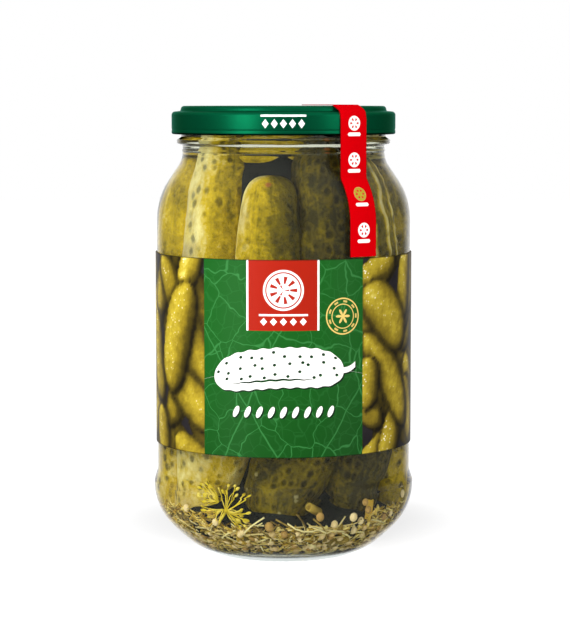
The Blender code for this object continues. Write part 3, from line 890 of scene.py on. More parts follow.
def front_panel(paint, u, v, settings):
    """Leaf green panel with veins, a red field with a slice, a badge and a pale gherkin."""
    place = paint.join(u, v)
    wobble = paint.noise(place, 0.09, 2.0) - 0.5
    green = paint.mix(v.rise(50.0, -10.0), settings.green, settings.deep_green)
    bent = paint.join(u + wobble * 9.0, v + paint.noise(paint.join(v, u), 0.11, 2.0) * 8.0)
    wide_net = paint.cells(bent, 0.082, "DISTANCE_TO_EDGE", 0.9)
    fine_net = paint.cells(bent, 0.2, "DISTANCE_TO_EDGE", 1.0)
    veins = wide_net.rise(0.022, 0.005) * 0.45
    veins = veins.most(fine_net.rise(0.05, 0.01) * 0.1)
    for foot, lean in MAIN_VEINS:
        rib = abs(u - foot - v * lean + wobble * 3.0)
        veins = veins.most(rib.rise(0.45, 0.1) * 0.45)
    green = paint.mix(veins, green, settings.vein)
    grain = paint.noise(place, 1.6, 3.0)
    green = paint.mix(grain * 0.22, green, settings.deep_green)
    head = LABEL_TOP_MM
    low = head - FIELD_TALL
    above = v.rise(low - 0.1, low + 0.1)
    middle = abs(u - FIELD_MIDDLE)
    field = middle.rise(12.85, 12.7) * above
    colour = paint.mix(field, green, settings.red)
    colour = paint.mix(abs(middle - 13.0).rise(0.42, 0.3) * above, colour, settings.cream)
    white = slice_mark(u, v - (head - 11.0), SLICE_RADIUS)
    white = white.most(abs(u).rise(9.0, 8.8) * abs(v - (head - 20.0)).rise(0.42, 0.28))
    lozenges = (abs(u.repeat(3.6)) + abs(v - (head - 22.4)) * 0.9).rise(1.35, 1.15)
    white = white.most(lozenges * abs(u).rise(9.1, 9.0))
    for drop, shade in ((0.55, (0.004, 0.02, 0.006)), (0.0, settings.cream)):
        big = gherkin_mark(paint, u - drop, v + drop)
        small = seed_row(u - drop, v + drop)
        colour = paint.mix(big.most(small), colour, shade)
    colour = paint.mix(white * field, colour, settings.cream)
    return paint.mix(badge_mark(u - BADGE_ACROSS, v - BADGE_UP), colour, settings.gold)


def polar(u, v):
    """The distance and the turn of a place from a mark's middle."""
    return (u * u + v * v).root(), v.bearing(u)


def badge_mark(u, v):
    """Two rings with beads between them, round a star."""
    spread, turn = polar(u, v)
    rings = abs(spread - 6.5).rise(0.3, 0.18).most(abs(spread - 4.4).rise(0.22, 0.12))
    beads = (turn * 9.0).wave().rise(0.15, 0.4) * abs(spread - 5.45).rise(0.42, 0.3)
    star = (spread - 1.7 - 1.1 * (turn * 6.0).wave()).rise(0.15, -0.05)
    return rings.most(beads * 0.8).most(star)


def slice_mark(u, v, radius):
    """A round slice: a disc with a thin rind line and seeds round its middle."""
    spread, turn = polar(u, v)
    disc = spread.rise(radius + 0.1, radius - 0.1)
    rind = abs(spread - radius * 0.86).rise(0.32, 0.2)
    seeds = (turn * 9.0).wave().rise(0.1, 0.45) * abs(spread - radius * 0.5).rise(1.5, 1.2)
    heart = (turn * 3.0).wave().rise(0.75, 0.95) * spread.rise(radius * 0.3, radius * 0.26)
    return disc * (1.0 - rind) * (1.0 - seeds) * (1.0 - heart)


def gherkin_mark(paint, u, v):
    """A long bent gherkin lying across the panel, with warts, a shade line and a stub of stem."""
    reach = (u - MARK_ACROSS) / MARK_HALF_LONG
    bend = reach * reach * -2.6 + reach * 1.2
    line = v - MARK_UP - bend
    swell = (1.0 - abs(reach) ** 4.6).most(0.0).root()
    edge = MARK_HALF_TALL * swell + 0.22 * (reach * 31.0 + 1.0).wave() * swell
    body = (edge - abs(line)).rise(-0.08, 0.08)
    taper = 1.0 - (reach + 0.1) * (reach + 0.1) * 2.2
    shade = abs(line + edge * 0.6) / taper.most(0.02)
    shade = shade.rise(0.5, 0.34) * abs(reach + 0.1).rise(0.66, 0.62)
    warts = paint.cells(paint.join(u, line * 1.15), 0.23, randomness=0.62, flat=True)
    warts = warts.rise(0.17, 0.13) * (edge * 0.78 - abs(line - 0.9)).rise(0.0, 0.2)
    stem_line = line - (u - 22.0) * (u - 22.0) * 0.09
    stem = abs(stem_line).rise(1.1, 0.95) * abs(u - 24.6).rise(3.1, 2.95)
    return (body * (1.0 - shade) * (1.0 - warts)).most(stem)


def seed_row(u, v):
    """A row of small slanted seeds under the gherkin."""
    line = v - SEED_ROW_UP
    slanted = u - line * 0.35
    step = slanted.repeat(SEED_PITCH)
    return (step * step * 1.7 + line * line * 0.42).rise(1.9, 1.55) * abs(slanted).rise(19.8, 19.7)


def label_paint(settings):
    """The panel in front and the printed heap round the rest, which comes as attributes."""
    paint = Paint(bpy.data.materials.new("printed label"))
    u, v, _ = paint.split(paint.attribute("sheet_place", output="Vector"))
    place = paint.join(u, v)
    edge = paint.attribute("picture_edge")
    light = paint.attribute("picture_light")
    tone = paint.attribute("picture_tone")
    bumps = paint.cells(place, 0.78)
    lit_bumps = paint.cells(paint.join(u - 0.3, v + 0.34), 0.78)
    relief = (lit_bumps - bumps) * 0.22
    blotch = paint.noise(place, 0.3, 3.0)
    shade = light * (0.72 + tone * 0.22) + relief * light * 0.5 + (blotch - 0.5) * 0.4
    skin = paint.ramp(
        shade,
        (0.0, srgb(24, 20, 8)),
        (0.35, srgb(74, 62, 12)),
        (0.62, srgb(134, 114, 20)),
        (0.84, srgb(182, 160, 40)),
        (1.0, srgb(222, 208, 112)),
    )
    glint = bumps.rise(0.32, 0.16) * light.rise(0.74, 0.94) * blotch.rise(0.47, 0.55)
    skin = paint.mix(glint * 0.75, skin, srgb(250, 248, 232))
    dark = paint.mix(blotch, settings.ground, srgb(22, 20, 24))
    sides = paint.mix(edge.rise(-0.1, 0.35), dark, skin)
    half = settings.panel / MM
    panel = abs(u).rise(half + 0.12, half - 0.12)
    colour = paint.mix(panel, sides, front_panel(paint, u, v, settings))
    tall = LABEL_TOP_MM
    border = abs(v - tall / 2).rise(tall / 2 - 0.45, tall / 2 - 0.1)
    colour = paint.mix(border * 0.75, colour, srgb(28, 24, 10))
    fibre = paint.noise(paint.stretched(place, (1.0, 4.0, 1.0)), 1.2, 4.0)
    paint.principled(Base_Color=colour, Roughness=0.36 + fibre * 0.1, Specular_IOR_Level=0.16)
    ripple = paint.noise(paint.stretched(place, (1.0, 0.35, 1.0)), 0.05, 2.0)
    paint.bump(ripple + fibre * 0.02, 0.35 * MM, 0.5)
    return paint.material


class JAR_OT_label(bpy.types.Operator):
    """Wrap the printed label round the body, its end lapped over its start at the back"""

    bl_idname = "jar.label"
    bl_label = "Printed Label"

    def execute(self, context):
        glass = context.scene.jar_glass
        settings = context.scene.jar_print
        radius = glass.body + TOUCHING_GAP
        lap = LABEL_LAP / radius
        piece, share_u, share_v = grid("label_paper", *LABEL_GRID)
        bearing = -math.pi + (math.tau + lap) * share_u
        over = np.clip((bearing - math.pi + 0.12) / 0.1, 0, 1)
        lift = (settings.paper + 0.1 * MM) * over * over * (3 - 2 * over)
        height = LABEL_LOW.z + (LABEL_HIGH.z - LABEL_LOW.z) * share_v
        reach = radius + lift
        set_points(piece, rings_at(bearing, reach, height))
        outside = radius + settings.paper
        across = bearing * outside / MM
        up = (height - LABEL_LOW.z) / MM
        set_attribute(piece, "sheet_place", np.stack([across, up, 0 * up], axis=1))
        girth = math.tau * outside / MM
        picture = pictured_gherkins(across, up, settings.panel / MM, girth, LABEL_TOP_MM)
        for name, values in zip(("edge", "light", "tone"), picture):
            set_attribute(piece, f"picture_{name}", values)
        thicken(piece, settings.paper)
        finish_piece(piece, label_paint(settings), "label_print", "label")
        return {"FINISHED"}


def strip_path(glass, lid):
    """The seal strip's line from the lid's deck over its edge and down to the label."""
    proud = TOUCHING_GAP
    hang = LID_HIGH.x + proud
    shoulder = [
        Vector((point.x + proud, point.y))
        for point in outer_wall(glass)
        if glass.shoulder - 9 * MM < point.y < glass.neck_corner and point.x > hang - 1 * MM
    ]
    shoulder = [point for point in shoulder if point.y < 142.0 * MM]
    corners = [
        (20.0 * MM, LID_HIGH.z + proud, 0),
        (lid.deck - 0.6 * MM, LID_HIGH.z + proud, 2 * MM),
        (LID_HIGH.x - 0.3 * MM, lid.step - 0.2 * MM + proud, 1.5 * MM),
        (hang, lid.step - 3 * MM, 3 * MM),
        (hang, 143.6 * MM, 3 * MM),
    ]
    path = rounded(corners + [(shoulder[0].x, shoulder[0].y, 0)], 6)[:-1] + shoulder
    path.append(Vector((glass.body + proud, LABEL_HIGH.z + 0.5 * MM)))
    return path


def evenly(path, step):
    """The same line with points about a step apart, and its length."""
    points = np.array([tuple(point) for point in path])
    run = np.concatenate([[0], np.cumsum(np.hypot(*np.diff(points, axis=0).T))])
    places = np.linspace(0, run[-1], max(2, int(run[-1] / step)))
    return np.stack([np.interp(places, run, points[:, axis]) for axis in (0, 1)], axis=1), run[-1]


def strip_paint(settings):
    """Red paper with a small round slice over a short bar, repeated along the strip."""
    paint = Paint(bpy.data.materials.new("red seal paper"))
    u, v, _ = paint.split(paint.attribute("sheet_place", output="Vector"))
    place = paint.join(u, v)
    step = (v - FIRST_STRIP_MARK).repeat(STRIP_PITCH)
    spread, turn = polar(u, step - 1.3)
    seeds = (turn * 6.0).wave().rise(0.1, 0.3) * abs(spread - 1.45).rise(0.55, 0.42)
    disc = spread.rise(2.75, 2.6) * (1.0 - seeds)
    bar = (abs(u) + abs(step + 2.7) * 0.8).rise(3.1, 2.95) * abs(step + 2.7).rise(0.72, 0.6)
    gold = abs(v - FIRST_STRIP_MARK - STRIP_PITCH).rise(5.0, 4.9) * disc
    mark = disc.most(bar) * v.rise(0.5, 1.0) * v.rise(STRIP_MARKS_END, STRIP_MARKS_END - 0.4)
    red = paint.mix(paint.noise(place, 0.12, 2.0) * 0.5, settings.strip_red, srgb(190, 0, 8))
    colour = paint.mix(mark, red, settings.cream)
    colour = paint.mix(gold, colour, srgb(172, 152, 44))
    border = abs(u).rise(5.7, 5.95)
    colour = paint.mix(border * 0.7, colour, srgb(96, 10, 8))
    fibre = paint.noise(place, 1.5, 4.0)
    paint.principled(Base_Color=colour, Roughness=0.45 + fibre * 0.1, Specular_IOR_Level=0.0)
    paint.bump(fibre + paint.noise(place, 0.16, 2.0) * 3.0, 0.06 * MM, 0.5)
    return paint.material


class JAR_OT_strip(bpy.types.Operator):
    """Paste the red seal strip over the lid and down the shoulder"""

    bl_idname = "jar.strip"
    bl_label = "Seal Strip"

    def execute(self, context):
        glass = context.scene.jar_glass
        settings = context.scene.jar_print
        line, run = evenly(strip_path(glass, context.scene.jar_lid), 0.6 * MM)
        piece, share_u, share_v = grid("seal_paper", 16, len(line) - 1)
        places = np.linspace(0, 1, len(line))
        radius = np.interp(1 - share_v, places, line[:, 0])
        height = np.interp(1 - share_v, places, line[:, 1])
        aside = settings.strip_width * (share_u - 0.5)
        bearing = settings.strip_bearing + aside / radius
        set_points(piece, rings_at(bearing, radius, height))
        along = run * share_v / MM
        set_attribute(piece, "sheet_place", np.stack([aside / MM, along, 0 * along], axis=1))
        thicken(piece, settings.paper)
        finish_piece(piece, strip_paint(settings), "strip_red", "seal_strip")
        return {"FINISHED"}


def wart_places(draw):
    """Warts in loose rows round a gherkin, as (bearing, rise, size) with rise from -1 to 1."""
    golden = math.pi * (3 - math.sqrt(5))
    places = []
    for index in range(WARTS):
        rise = -0.93 + 1.86 * (index + 0.5) / WARTS + draw.uniform(-0.03, 0.03)
        places.append((index * golden + draw.uniform(-0.35, 0.35), rise, draw.uniform(0.6, 1.25)))
    return places


def gherkin_piece(name, row, seed, glass, contents):
    """One gherkin: a ball drawn out along its bowed axis, with ribs, lumps, warts and end scars."""
    foot_at, head_at, foot, head, half, foot_radius, head_radius, bow, tone, left, wart, rib = row
    draw = random.Random(seed)
    deselect()
    bpy.ops.mesh.primitive_uv_sphere_add(segments=GHERKIN_SIDES, ring_count=GHERKIN_RINGS, radius=1)
    piece = added(name)
    ball = points_of(piece)
    low = on_ring(math.radians(foot_at), foot_radius * MM, foot * MM)
    high = on_ring(math.radians(head_at), head_radius * MM, head * MM)
    middle = np.array((low + high) / 2)
    half_axis = (high - low) / 2
    turn = np.array(Vector((0, 0, 1)).rotation_difference(half_axis).to_matrix())
    outward = math.radians((foot_at + head_at) / 2)
    aside = np.array((math.cos(outward), math.sin(outward), 0.0))
    half_long = half_axis.length
    rise = ball[:, 2]
    ring = np.hypot(ball[:, 0], ball[:, 1])
    spin = np.arctan2(ball[:, 1], ball[:, 0])
    swell = np.where(ring > 1e-4, ring, 1.0) ** (GHERKIN_BLUNTNESS - 1) * (ring > 1e-4)
    phase = draw.uniform(0, math.tau)
    shape = 1 + 0.05 * np.sin(4.0 * rise + phase)
    wave = 0.35 * np.sin(9 * rise + phase)
    ridge = np.zeros(len(ball))
    if rib > RIBBED:
        wander = 0.9 * np.sin(7 * rise + 2 * spin) + 0.6 * np.sin(17 * rise - spin)
        ridge = np.clip(np.cos(RIDGES * spin + wander), 0, 1) ** 2 * np.clip(ring * 1.6, 0, 1)
        shape += 0.06 * ridge * (1 + 0.4 * np.sin(40 * rise + 3 * spin))
    else:
        shape += rib * np.cos(5 * spin + wave + phase) * np.clip(ring * 1.6, 0, 1)
    bumps = np.zeros(len(ball))
    for bearing, at, size in wart_places(draw):
        width = WART_RADIUS * size
        apart = (spin - bearing + math.pi) % math.tau - math.pi
        ring_there = math.sqrt(max(0.02, 1 - at * at)) ** GHERKIN_BLUNTNESS
        across = apart * half * MM * ring_there
        near = np.hypot(across, (rise - at) * half_long) / width
        bumps = np.maximum(bumps, np.exp(-(near**2) * 2.2) * size)
    radial = half * MM * shape + bumps * wart * MM
    sideways = ball[:, :2] * (swell * radial)[:, None]
    flat = np.stack([sideways[:, 0], sideways[:, 1], np.zeros(len(ball))], axis=1)
    points = middle + np.outer(rise, np.array(half_axis)) + flat @ turn.T
    points += np.outer(bow * MM * (1 - rise * rise), aside)
    lumps = swell_of(points + np.array((seed / LUMP_SCALE, 0, 0)), LUMP_SCALE)
    from_axis = flat @ turn.T
    from_axis /= np.maximum(np.linalg.norm(from_axis, axis=1), 1e-6)[:, None]
    points += from_axis * (lumps * LUMP_HEIGHT)[:, None] * np.clip(ring * 2, 0, 1)[:, None]
    press_in(points, glass, dill_notch(points, glass, contents))
    set_points(piece, points)
    # Painted shade: the tone falls towards each gherkin's right side and rises towards its left by
    # its share, partly its own pale flank and partly shade for the light from the left. The crests
    # of wandering ridges are painted paler, partly as a painted highlight.
    to_right = from_axis @ aside
    set_attribute(piece, "tone", np.clip(tone - left * to_right + 0.14 * lumps + 0.8 * ridge, 0, 1))
    set_attribute(piece, "wart", np.clip(bumps, 0, 1) * min(1.0, wart / FULL_WART))
    set_attribute(piece, "spotted", np.full(len(ball), min(1.0, wart / FULL_SPOTS)))
    toward_glass = SCAR_TOWARD_GLASS * (rise > 0)
    across_scar = ball[:, 0] - toward_glass * math.sin(outward)
    from_scar = np.hypot(across_scar, ball[:, 1] + toward_glass * math.cos(outward))
    set_attribute(piece, "scar", np.clip(1 - from_scar / SCAR_REACH, 0, 1))
    up_skin = rise * half_long / MM + seed * 300
    skin = np.stack([half * np.cos(spin), half * np.sin(spin), up_skin], axis=1)
    set_attribute(piece, "skin_place", skin)
    piece.data.shade_smooth()
    return piece


def gherkin_paint(contents):
    """Wet skin: mottled by tone, streaked lengthways, spotted, with a brown scar at each end."""
    paint = Paint(bpy.data.materials.new("gherkin skin"))
    place = paint.place()
    skin = paint.attribute("skin_place", output="Vector")
    tone = paint.attribute("tone")
    wart = paint.attribute("wart")
    scar = paint.attribute("scar")
    mottle = paint.noise(place, 85.0, 4.0, 0.6, 0.6)
    fine = paint.noise(place, 420.0, 3.0, 0.6)
    streaks = paint.noise(paint.stretched(skin, (0.4, 0.4, 0.05)), 1.0, 3.0)
    grain = paint.noise(place, 1100.0, 2.0, 0.6)
    shade = tone + (mottle - 0.5) * 0.7 + (streaks - 0.5) * 0.45
    shade = shade + (fine - 0.5) * 0.5 + (grain - 0.5) * 0.3
    colour = paint.ramp(
        shade,
        (0.0, contents.dark),
        (0.33, contents.olive),
        (0.66, contents.yellow),
        (1.0, contents.pale),
    )
    # Greyish haze over the pale skin: partly the skin's own colour and partly a painted sheen
    # standing in for reflections. It follows the tone, so it gathers on the painted lit side.
    haze_and_sheen = paint.noise(place, 48.0, 2.0).rise(0.52, 0.66) * tone.rise(0.6, 0.9)
    colour = paint.mix(haze_and_sheen * 0.5, colour, srgb(172, 158, 136))
    spotted = paint.attribute("spotted")
    bent = paint.stretched(skin, (0.26, 0.26, 0.22))
    near = paint.cells(bent, 1.0)
    picked, _, _ = paint.split(paint.cells(bent, 1.0, output="Color"))
    spot_size = 0.3 + picked * 0.14
    shown = picked.rise(0.2, 0.5) * spotted
    spot = (near / spot_size + (fine - 0.5) * 0.8).rise(1.2, 0.4) * shown
    rim = (near / spot_size).rise(1.9, 1.3) * shown * (1.0 - spot)
    colour = paint.mix(rim * (0.08 + tone * 0.2), colour, contents.yellow)
    colour = paint.mix(spot * 0.85, colour, (0.24, 0.25, 0.24), "MULTIPLY")
    tip = wart.rise(0.6, 0.95)
    colour = paint.mix(tip * 0.3, colour, srgb(238, 226, 160))
    pits = paint.cells(place, 620.0).rise(0.2, 0.08) * mottle.rise(0.45, 0.6)
    colour = paint.mix(pits * 0.35, colour, srgb(76, 66, 22))
    colour = paint.mix(scar.rise(0.2, 0.75), colour, srgb(160, 100, 50))
    paint.principled(Base_Color=colour, Roughness=0.42 + fine * 0.14, Specular_IOR_Level=0.2)
    relief = fine * 0.9 + grain * 0.4 + mottle * 1.8 + streaks * 0.4 - spot * 0.4
    paint.bump(relief, 1.0 * MM, 0.9)
    return paint.material


def core_outline(glass):
    """The inner stack behind the outer gherkins, down to the spice bed, painted dark as the shade
    between them.
    """
    neck_radius = glass.neck - glass.wall - 12 * MM
    return rounded(
        [
            (0.0, 156 * MM, 0),
            (neck_radius - 4 * MM, 156 * MM, 6 * MM),
            (neck_radius, 140 * MM, 10 * MM),
            (CORE_RADIUS, 120 * MM, 20 * MM),
            (CORE_RADIUS - 2 * MM, 87 * MM, 20 * MM),
            (CORE_RADIUS, 60 * MM, 20 * MM),
            (CORE_RADIUS, 30 * MM, 8 * MM),
            (36 * MM, 20 * MM, 3 * MM),
            (36 * MM, 12 * MM, 3 * MM),
            (0.0, 12 * MM, 0),
        ],
        10,
    )


class JAR_OT_gherkins(bpy.types.Operator):
    """Pack the gherkins in two rings round a core painted dark as shade, with two more inside the
    upper ring
    """

    bl_idname = "jar.gherkins"
    bl_label = "Gherkins"

    def execute(self, context):
        glass = context.scene.jar_glass
        contents = context.scene.jar_contents
        skin = gherkin_paint(contents)
        pieces = [
            gherkin_piece(f"gherkin_{seed}", row, seed, glass, contents)
            for seed, row in enumerate(GHERKINS, 1)
        ]
        lower, upper = pieces[:LOWER_GHERKINS], pieces[LOWER_GHERKINS:]
        for name, ring in (("gherkins_lower", lower), ("gherkins_upper", upper)):
            finish_piece(joined(name, ring), skin, "gherkin", "pickles")
        core = turned("gherkin_core", core_outline(glass))
        points = points_of(core)
        radius = np.hypot(points[:, 0], points[:, 1])
        swell = swell_of(points, 60)
        lobes = 0.07 * np.cos(8 * np.arctan2(points[:, 1], points[:, 0]) + 40 * points[:, 2])
        points[:, :2] *= (1 + (lobes + 0.09 * swell) * (radius > 5 * MM))[:, None]
        set_points(core, points)
        set_attribute(core, "tone", 0.3 + 0.5 * swell)
        # Painted shade: the core stands for the inner gherkins in the shade behind the outer ones,
        # so its stops are near black.
        stops = three_stops(srgb(16, 19, 22), srgb(36, 38, 36), srgb(66, 64, 44), 0.7)
        shaded = spice_paint("shaded gherkins", stops, 0.6, 60.0, 0.05 * MM)
        finish_piece(core, shaded, "gherkin", "pickles")
        return {"FINISHED"}


def repeated(name, pattern, places, tones):
    """One mesh of many copies of a small piece, each moved by its own matrix."""
    points = points_of(pattern)
    faces = [tuple(face.vertices) for face in pattern.data.polygons]
    all_points = []
    all_faces = []
    all_tones = []
    for index, (matrix, tone) in enumerate(zip(places, tones)):
        moved = points @ np.array(matrix.to_3x3()).T + np.array(matrix.translation)
        all_points.append(moved)
        base = index * len(points)
        all_faces += [tuple(base + corner for corner in face) for face in faces]
        all_tones.append(np.full(len(points), tone))
    mesh = bpy.data.meshes.new(name)
    mesh.from_pydata(np.concatenate(all_points).tolist(), [], all_faces)
    obj = bpy.data.objects.new(name, mesh)
    bpy.context.scene.collection.objects.link(obj)
    set_attribute(obj, "tone", np.concatenate(all_tones))
    mesh.shade_smooth()
    bpy.data.objects.remove(pattern, do_unlink=True)
    return obj


def seed_pattern(radius):
    """A round seed, a little longer than it is wide."""
    deselect()
    bpy.ops.mesh.primitive_uv_sphere_add(segments=8, ring_count=6, radius=radius)
    seed = added("seed")
    begin_edit(seed)
    bpy.ops.transform.resize(value=(1.0, 0.9, 1.08))
    end_edit()
    return seed


def shred_pattern():
    """A thin bent shred of dill, eleven millimetres long."""
    deselect()
    bpy.ops.mesh.primitive_cylinder_add(
        vertices=5, radius=0.3 * MM, depth=11 * MM, end_fill_type="TRIFAN"
    )
    shred = added("shred")
    begin_edit(shred)
    for height in (0, 2.6 * MM, -2.6 * MM):
        select_all()
        bpy.ops.mesh.bisect(plane_co=(0, 0, height), plane_no=(0, 0, 1))
    end_edit()
    points = points_of(shred)
    points[:, 0] += 1.4 * MM * (1 - (points[:, 2] / (5 * MM)) ** 2)
    set_points(shred, points)
    return shred


def flake_pattern():
    """A small bent scrap of leaf or seed coat, four millimetres long."""
    deselect()
    bpy.ops.mesh.primitive_uv_sphere_add(segments=8, ring_count=4, radius=2.0 * MM)
    flake = added("flake")
    begin_edit(flake)
    bpy.ops.transform.resize(value=(0.42, 0.14, 1.0))
    end_edit()
    points = points_of(flake)
    points[:, 1] += 0.6 * MM * (points[:, 2] / (2.0 * MM)) ** 2
    set_points(flake, points)
    return flake


def stalk_pattern():
    """A hollow cut bit of dill stalk."""
    deselect()
    bpy.ops.mesh.primitive_cylinder_add(
        vertices=14, radius=1.7 * MM, depth=8 * MM, end_fill_type="NGON"
    )
    stalk = added("stalk")
    begin_edit(stalk)
    bpy.ops.mesh.select_mode(type="FACE")
    bpy.ops.mesh.select_all(action="DESELECT")
    end_edit()
    for face in stalk.data.polygons:
        face.select = abs(face.normal.z) > 0.9
    bpy.ops.object.mode_set(mode="EDIT")
    bpy.ops.mesh.inset(thickness=0.5 * MM)
    bpy.ops.mesh.extrude_region_shrink_fatten(TRANSFORM_OT_shrink_fatten={"value": -1.5 * MM})
    end_edit()
    return stalk


def scattered(count, draw, glass, low, high, depth, inset, spread=math.tau, start=0.0):
    """Places behind the glass for small pieces, each a matrix with a random turn and size. Their
    middles are the inset behind the wall and up to the depth more, from the start on over the
    spread, in radians."""
    heights, radii = wall_limits(glass)
    places = []
    for _ in range(count):
        height = draw.uniform(low, high)
        limit = float(np.interp(height, heights, radii)) - inset
        bearing = start + draw.uniform(0, spread)
        place = on_ring(bearing, limit - depth * draw.random() ** 1.7, height)
        turn = Matrix.Rotation(draw.uniform(0, math.tau), 4, "Z")
        tilt = Matrix.Rotation(draw.gauss(math.pi / 2, 0.4), 4, "X")
        size = Matrix.Scale(draw.uniform(0.82, 1.15), 4)
        places.append(Matrix.Translation(place) @ turn @ tilt @ size)
    return places


def three_stops(low, middle, high, at=0.5):
    return ((0.0, low), (at, middle), (1.0, high))


def spice_paint(name, stops, roughness, mottle_scale, relief):
    """Small dry pieces: each takes its own tone from the stops, with mottling and fine relief."""
    paint = Paint(bpy.data.materials.new(name))
    place = paint.place()
    tone = paint.attribute("tone")
    mottle = paint.noise(place, mottle_scale, 3.0)
    fine = paint.noise(place, mottle_scale * 4, 2.0)
    colour = paint.ramp(tone + (mottle - 0.5) * 0.3, *stops)
    paint.principled(Base_Color=colour, Roughness=roughness + fine * 0.15, Specular_IOR_Level=0.15)
    paint.bump(mottle + fine * 0.4, relief, 0.5)
    return paint.material


def lay_bed(glass, contents):
    """The bed that the small pieces lie on and hide, painted dark as the shade between them."""
    level = contents.bed_top - BED_DROP
    side = []
    for share in np.linspace(1, 0, 9):
        height = contents.bed_bottom + (level - contents.bed_bottom) * float(share)
        side.append((wall_radius(glass, height) - 2.6 * MM, height))
    outline = [(0.0, level), (20 * MM, level), *side, (0.0, contents.bed_bottom)]
    bed = turned("spice_bed", [Vector(point) for point in outline])
    points = points_of(bed)
    swell = swell_of(points, 300)
    points[:, :2] *= (1 - 0.03 * np.abs(swell))[:, None]
    points[:, 2] += 0.9 * MM * swell * (points[:, 2] > contents.bed_top - 2 * MM)
    set_points(bed, points)
    set_attribute(bed, "tone", np.clip(0.35 + swell * 0.5, 0, 1))
    # Painted shade: the bed's stops are dark, for the shade between and behind the small pieces.
    stops = three_stops(srgb(26, 28, 28), srgb(62, 54, 34), srgb(120, 104, 60))
    finish_piece(bed, spice_paint("dark bed", stops, 0.5, 300.0, 0.8 * MM), "spice", "spices")


def strew_seeds(glass, contents, draw, low):
    """Mustard seeds in the bed, on its higher side at the right, and loose in front."""
    top = contents.bed_top
    places = scattered(contents.seeds, draw, glass, low, top, 3 * MM, contents.seed)
    for extra, *where in HIGHER_SEEDS:
        places += scattered(extra, draw, glass, top, top + 7 * MM, 2 * MM, contents.seed, *where)
    for bearing, height, size in LOOSE_SEEDS:
        radius = wall_radius(glass, height * MM) - contents.seed * size
        place = on_ring(math.radians(bearing), radius, height * MM)
        places.append(Matrix.Translation(place) @ Matrix.Scale(size, 4))
    tones = [draw.choice((0.3, 0.7, 0.85, 0.95, 1.0)) for _ in places]
    seeds = repeated("mustard_seeds", seed_pattern(contents.seed), places, tones)
    stops = three_stops(srgb(128, 92, 44), srgb(206, 168, 98), contents.mustard, 0.45)
    paint = spice_paint("mustard seed", stops, 0.42, 700.0, 0.1 * MM)
    finish_piece(seeds, paint, "spice", "spices")


def strew_shreds(glass, contents, draw, low):
    """Dill shreds in the bed, and the long ones that lie on it."""
    top = contents.bed_top
    places = scattered(contents.shreds, draw, glass, low, top + 2 * MM, 4 * MM, 1.6 * MM)
    for bearing, height, turn in LONG_SHREDS:
        radius = wall_radius(glass, height * MM) - 1.4 * MM
        place = on_ring(math.radians(bearing), radius, height * MM)
        facing = Matrix.Rotation(math.radians(bearing), 4, "Z")
        facing = facing @ Matrix.Rotation(math.radians(turn), 4, "Y")
        places.append(Matrix.Translation(place) @ facing @ Matrix.Scale(1.15, 4))
    tones = [draw.random() for _ in places]
    shreds = repeated("dill_shreds", shred_pattern(), places, tones)
    settle(shreds, glass, 0.2 * MM)
    stops = three_stops(srgb(96, 78, 36), srgb(206, 176, 88), srgb(255, 244, 184), 0.4)
    finish_piece(shreds, spice_paint("dill shred", stops, 0.5, 500.0, 0.1 * MM), "spice", "spices")


def strew_flakes(glass, contents, draw, low):
    """Scraps of leaf in the bed, heaped higher in a few parts of it."""
    top = contents.bed_top
    reach = (3 * MM, 1.3 * MM)
    places = scattered(contents.flakes, draw, glass, low - 1 * MM, top + 1 * MM, *reach)
    for scraps, *where in HIGHER_BITS:
        places += scattered(scraps, draw, glass, top, top + 6 * MM, *reach, *where)
    tones = [0.15 + draw.random() * 0.85 for _ in places]
    flakes = repeated("leaf_flakes", flake_pattern(), places, tones)
    settle(flakes, glass, 0.5 * MM)
    stops = three_stops(srgb(64, 56, 22), srgb(212, 178, 68), srgb(255, 238, 150))
    finish_piece(flakes, spice_paint("leaf flake", stops, 0.5, 400.0, 0.1 * MM), "spice", "spices")


def strew_stalks(glass, contents, draw, low):
    """Cut bits of stalk in the bed, one that stands at the right and one whose end shows."""
    top = contents.bed_top
    places = scattered(16, draw, glass, low + 2 * MM, top + 1 * MM, 2 * MM, 2.6 * MM)
    tones = [draw.uniform(0.1, 0.9) for _ in places] + [1.0, 0.5]
    for bearing, radius, height, tip, lean, size in PLACED_STALKS:
        place = on_ring(math.radians(bearing), radius * MM, height * MM)
        facing = Matrix.Rotation(tip, 4, "X") @ Matrix.Rotation(lean, 4, "Y")
        places.append(Matrix.Translation(place) @ facing @ Matrix.Scale(size, 4))
    stalks = repeated("stalk_bits", stalk_pattern(), places, tones)
    settle(stalks, glass, 0.0)
    stops = three_stops(srgb(86, 74, 34), srgb(166, 142, 64), srgb(222, 182, 70))
    finish_piece(stalks, spice_paint("stalk", stops, 0.45, 260.0, 0.25 * MM), "spice", "spices")


class JAR_OT_spices(bpy.types.Operator):
    """Fill the heel with mustard seeds, cut stalks and dill shreds over a dark bed"""

    bl_idname = "jar.spices"
    bl_label = "Spice Bed"

    def execute(self, context):
        glass = context.scene.jar_glass
        contents = context.scene.jar_contents
        draw = random.Random(BED_DRAW)
        low = contents.bed_bottom + 1.6 * MM
        lay_bed(glass, contents)
        for strew in (strew_seeds, strew_shreds, strew_flakes, strew_stalks):
            strew(glass, contents, draw, low)
        return {"FINISHED"}


def settle(obj, glass, gap):
    """Presses small pieces inside the wall and over the floor of the jar."""
    points = points_of(obj)
    points[:, 2] = np.maximum(points[:, 2], glass.floor + 1.2 * MM)
    press_in(points, glass, gap)
    set_points(obj, points)


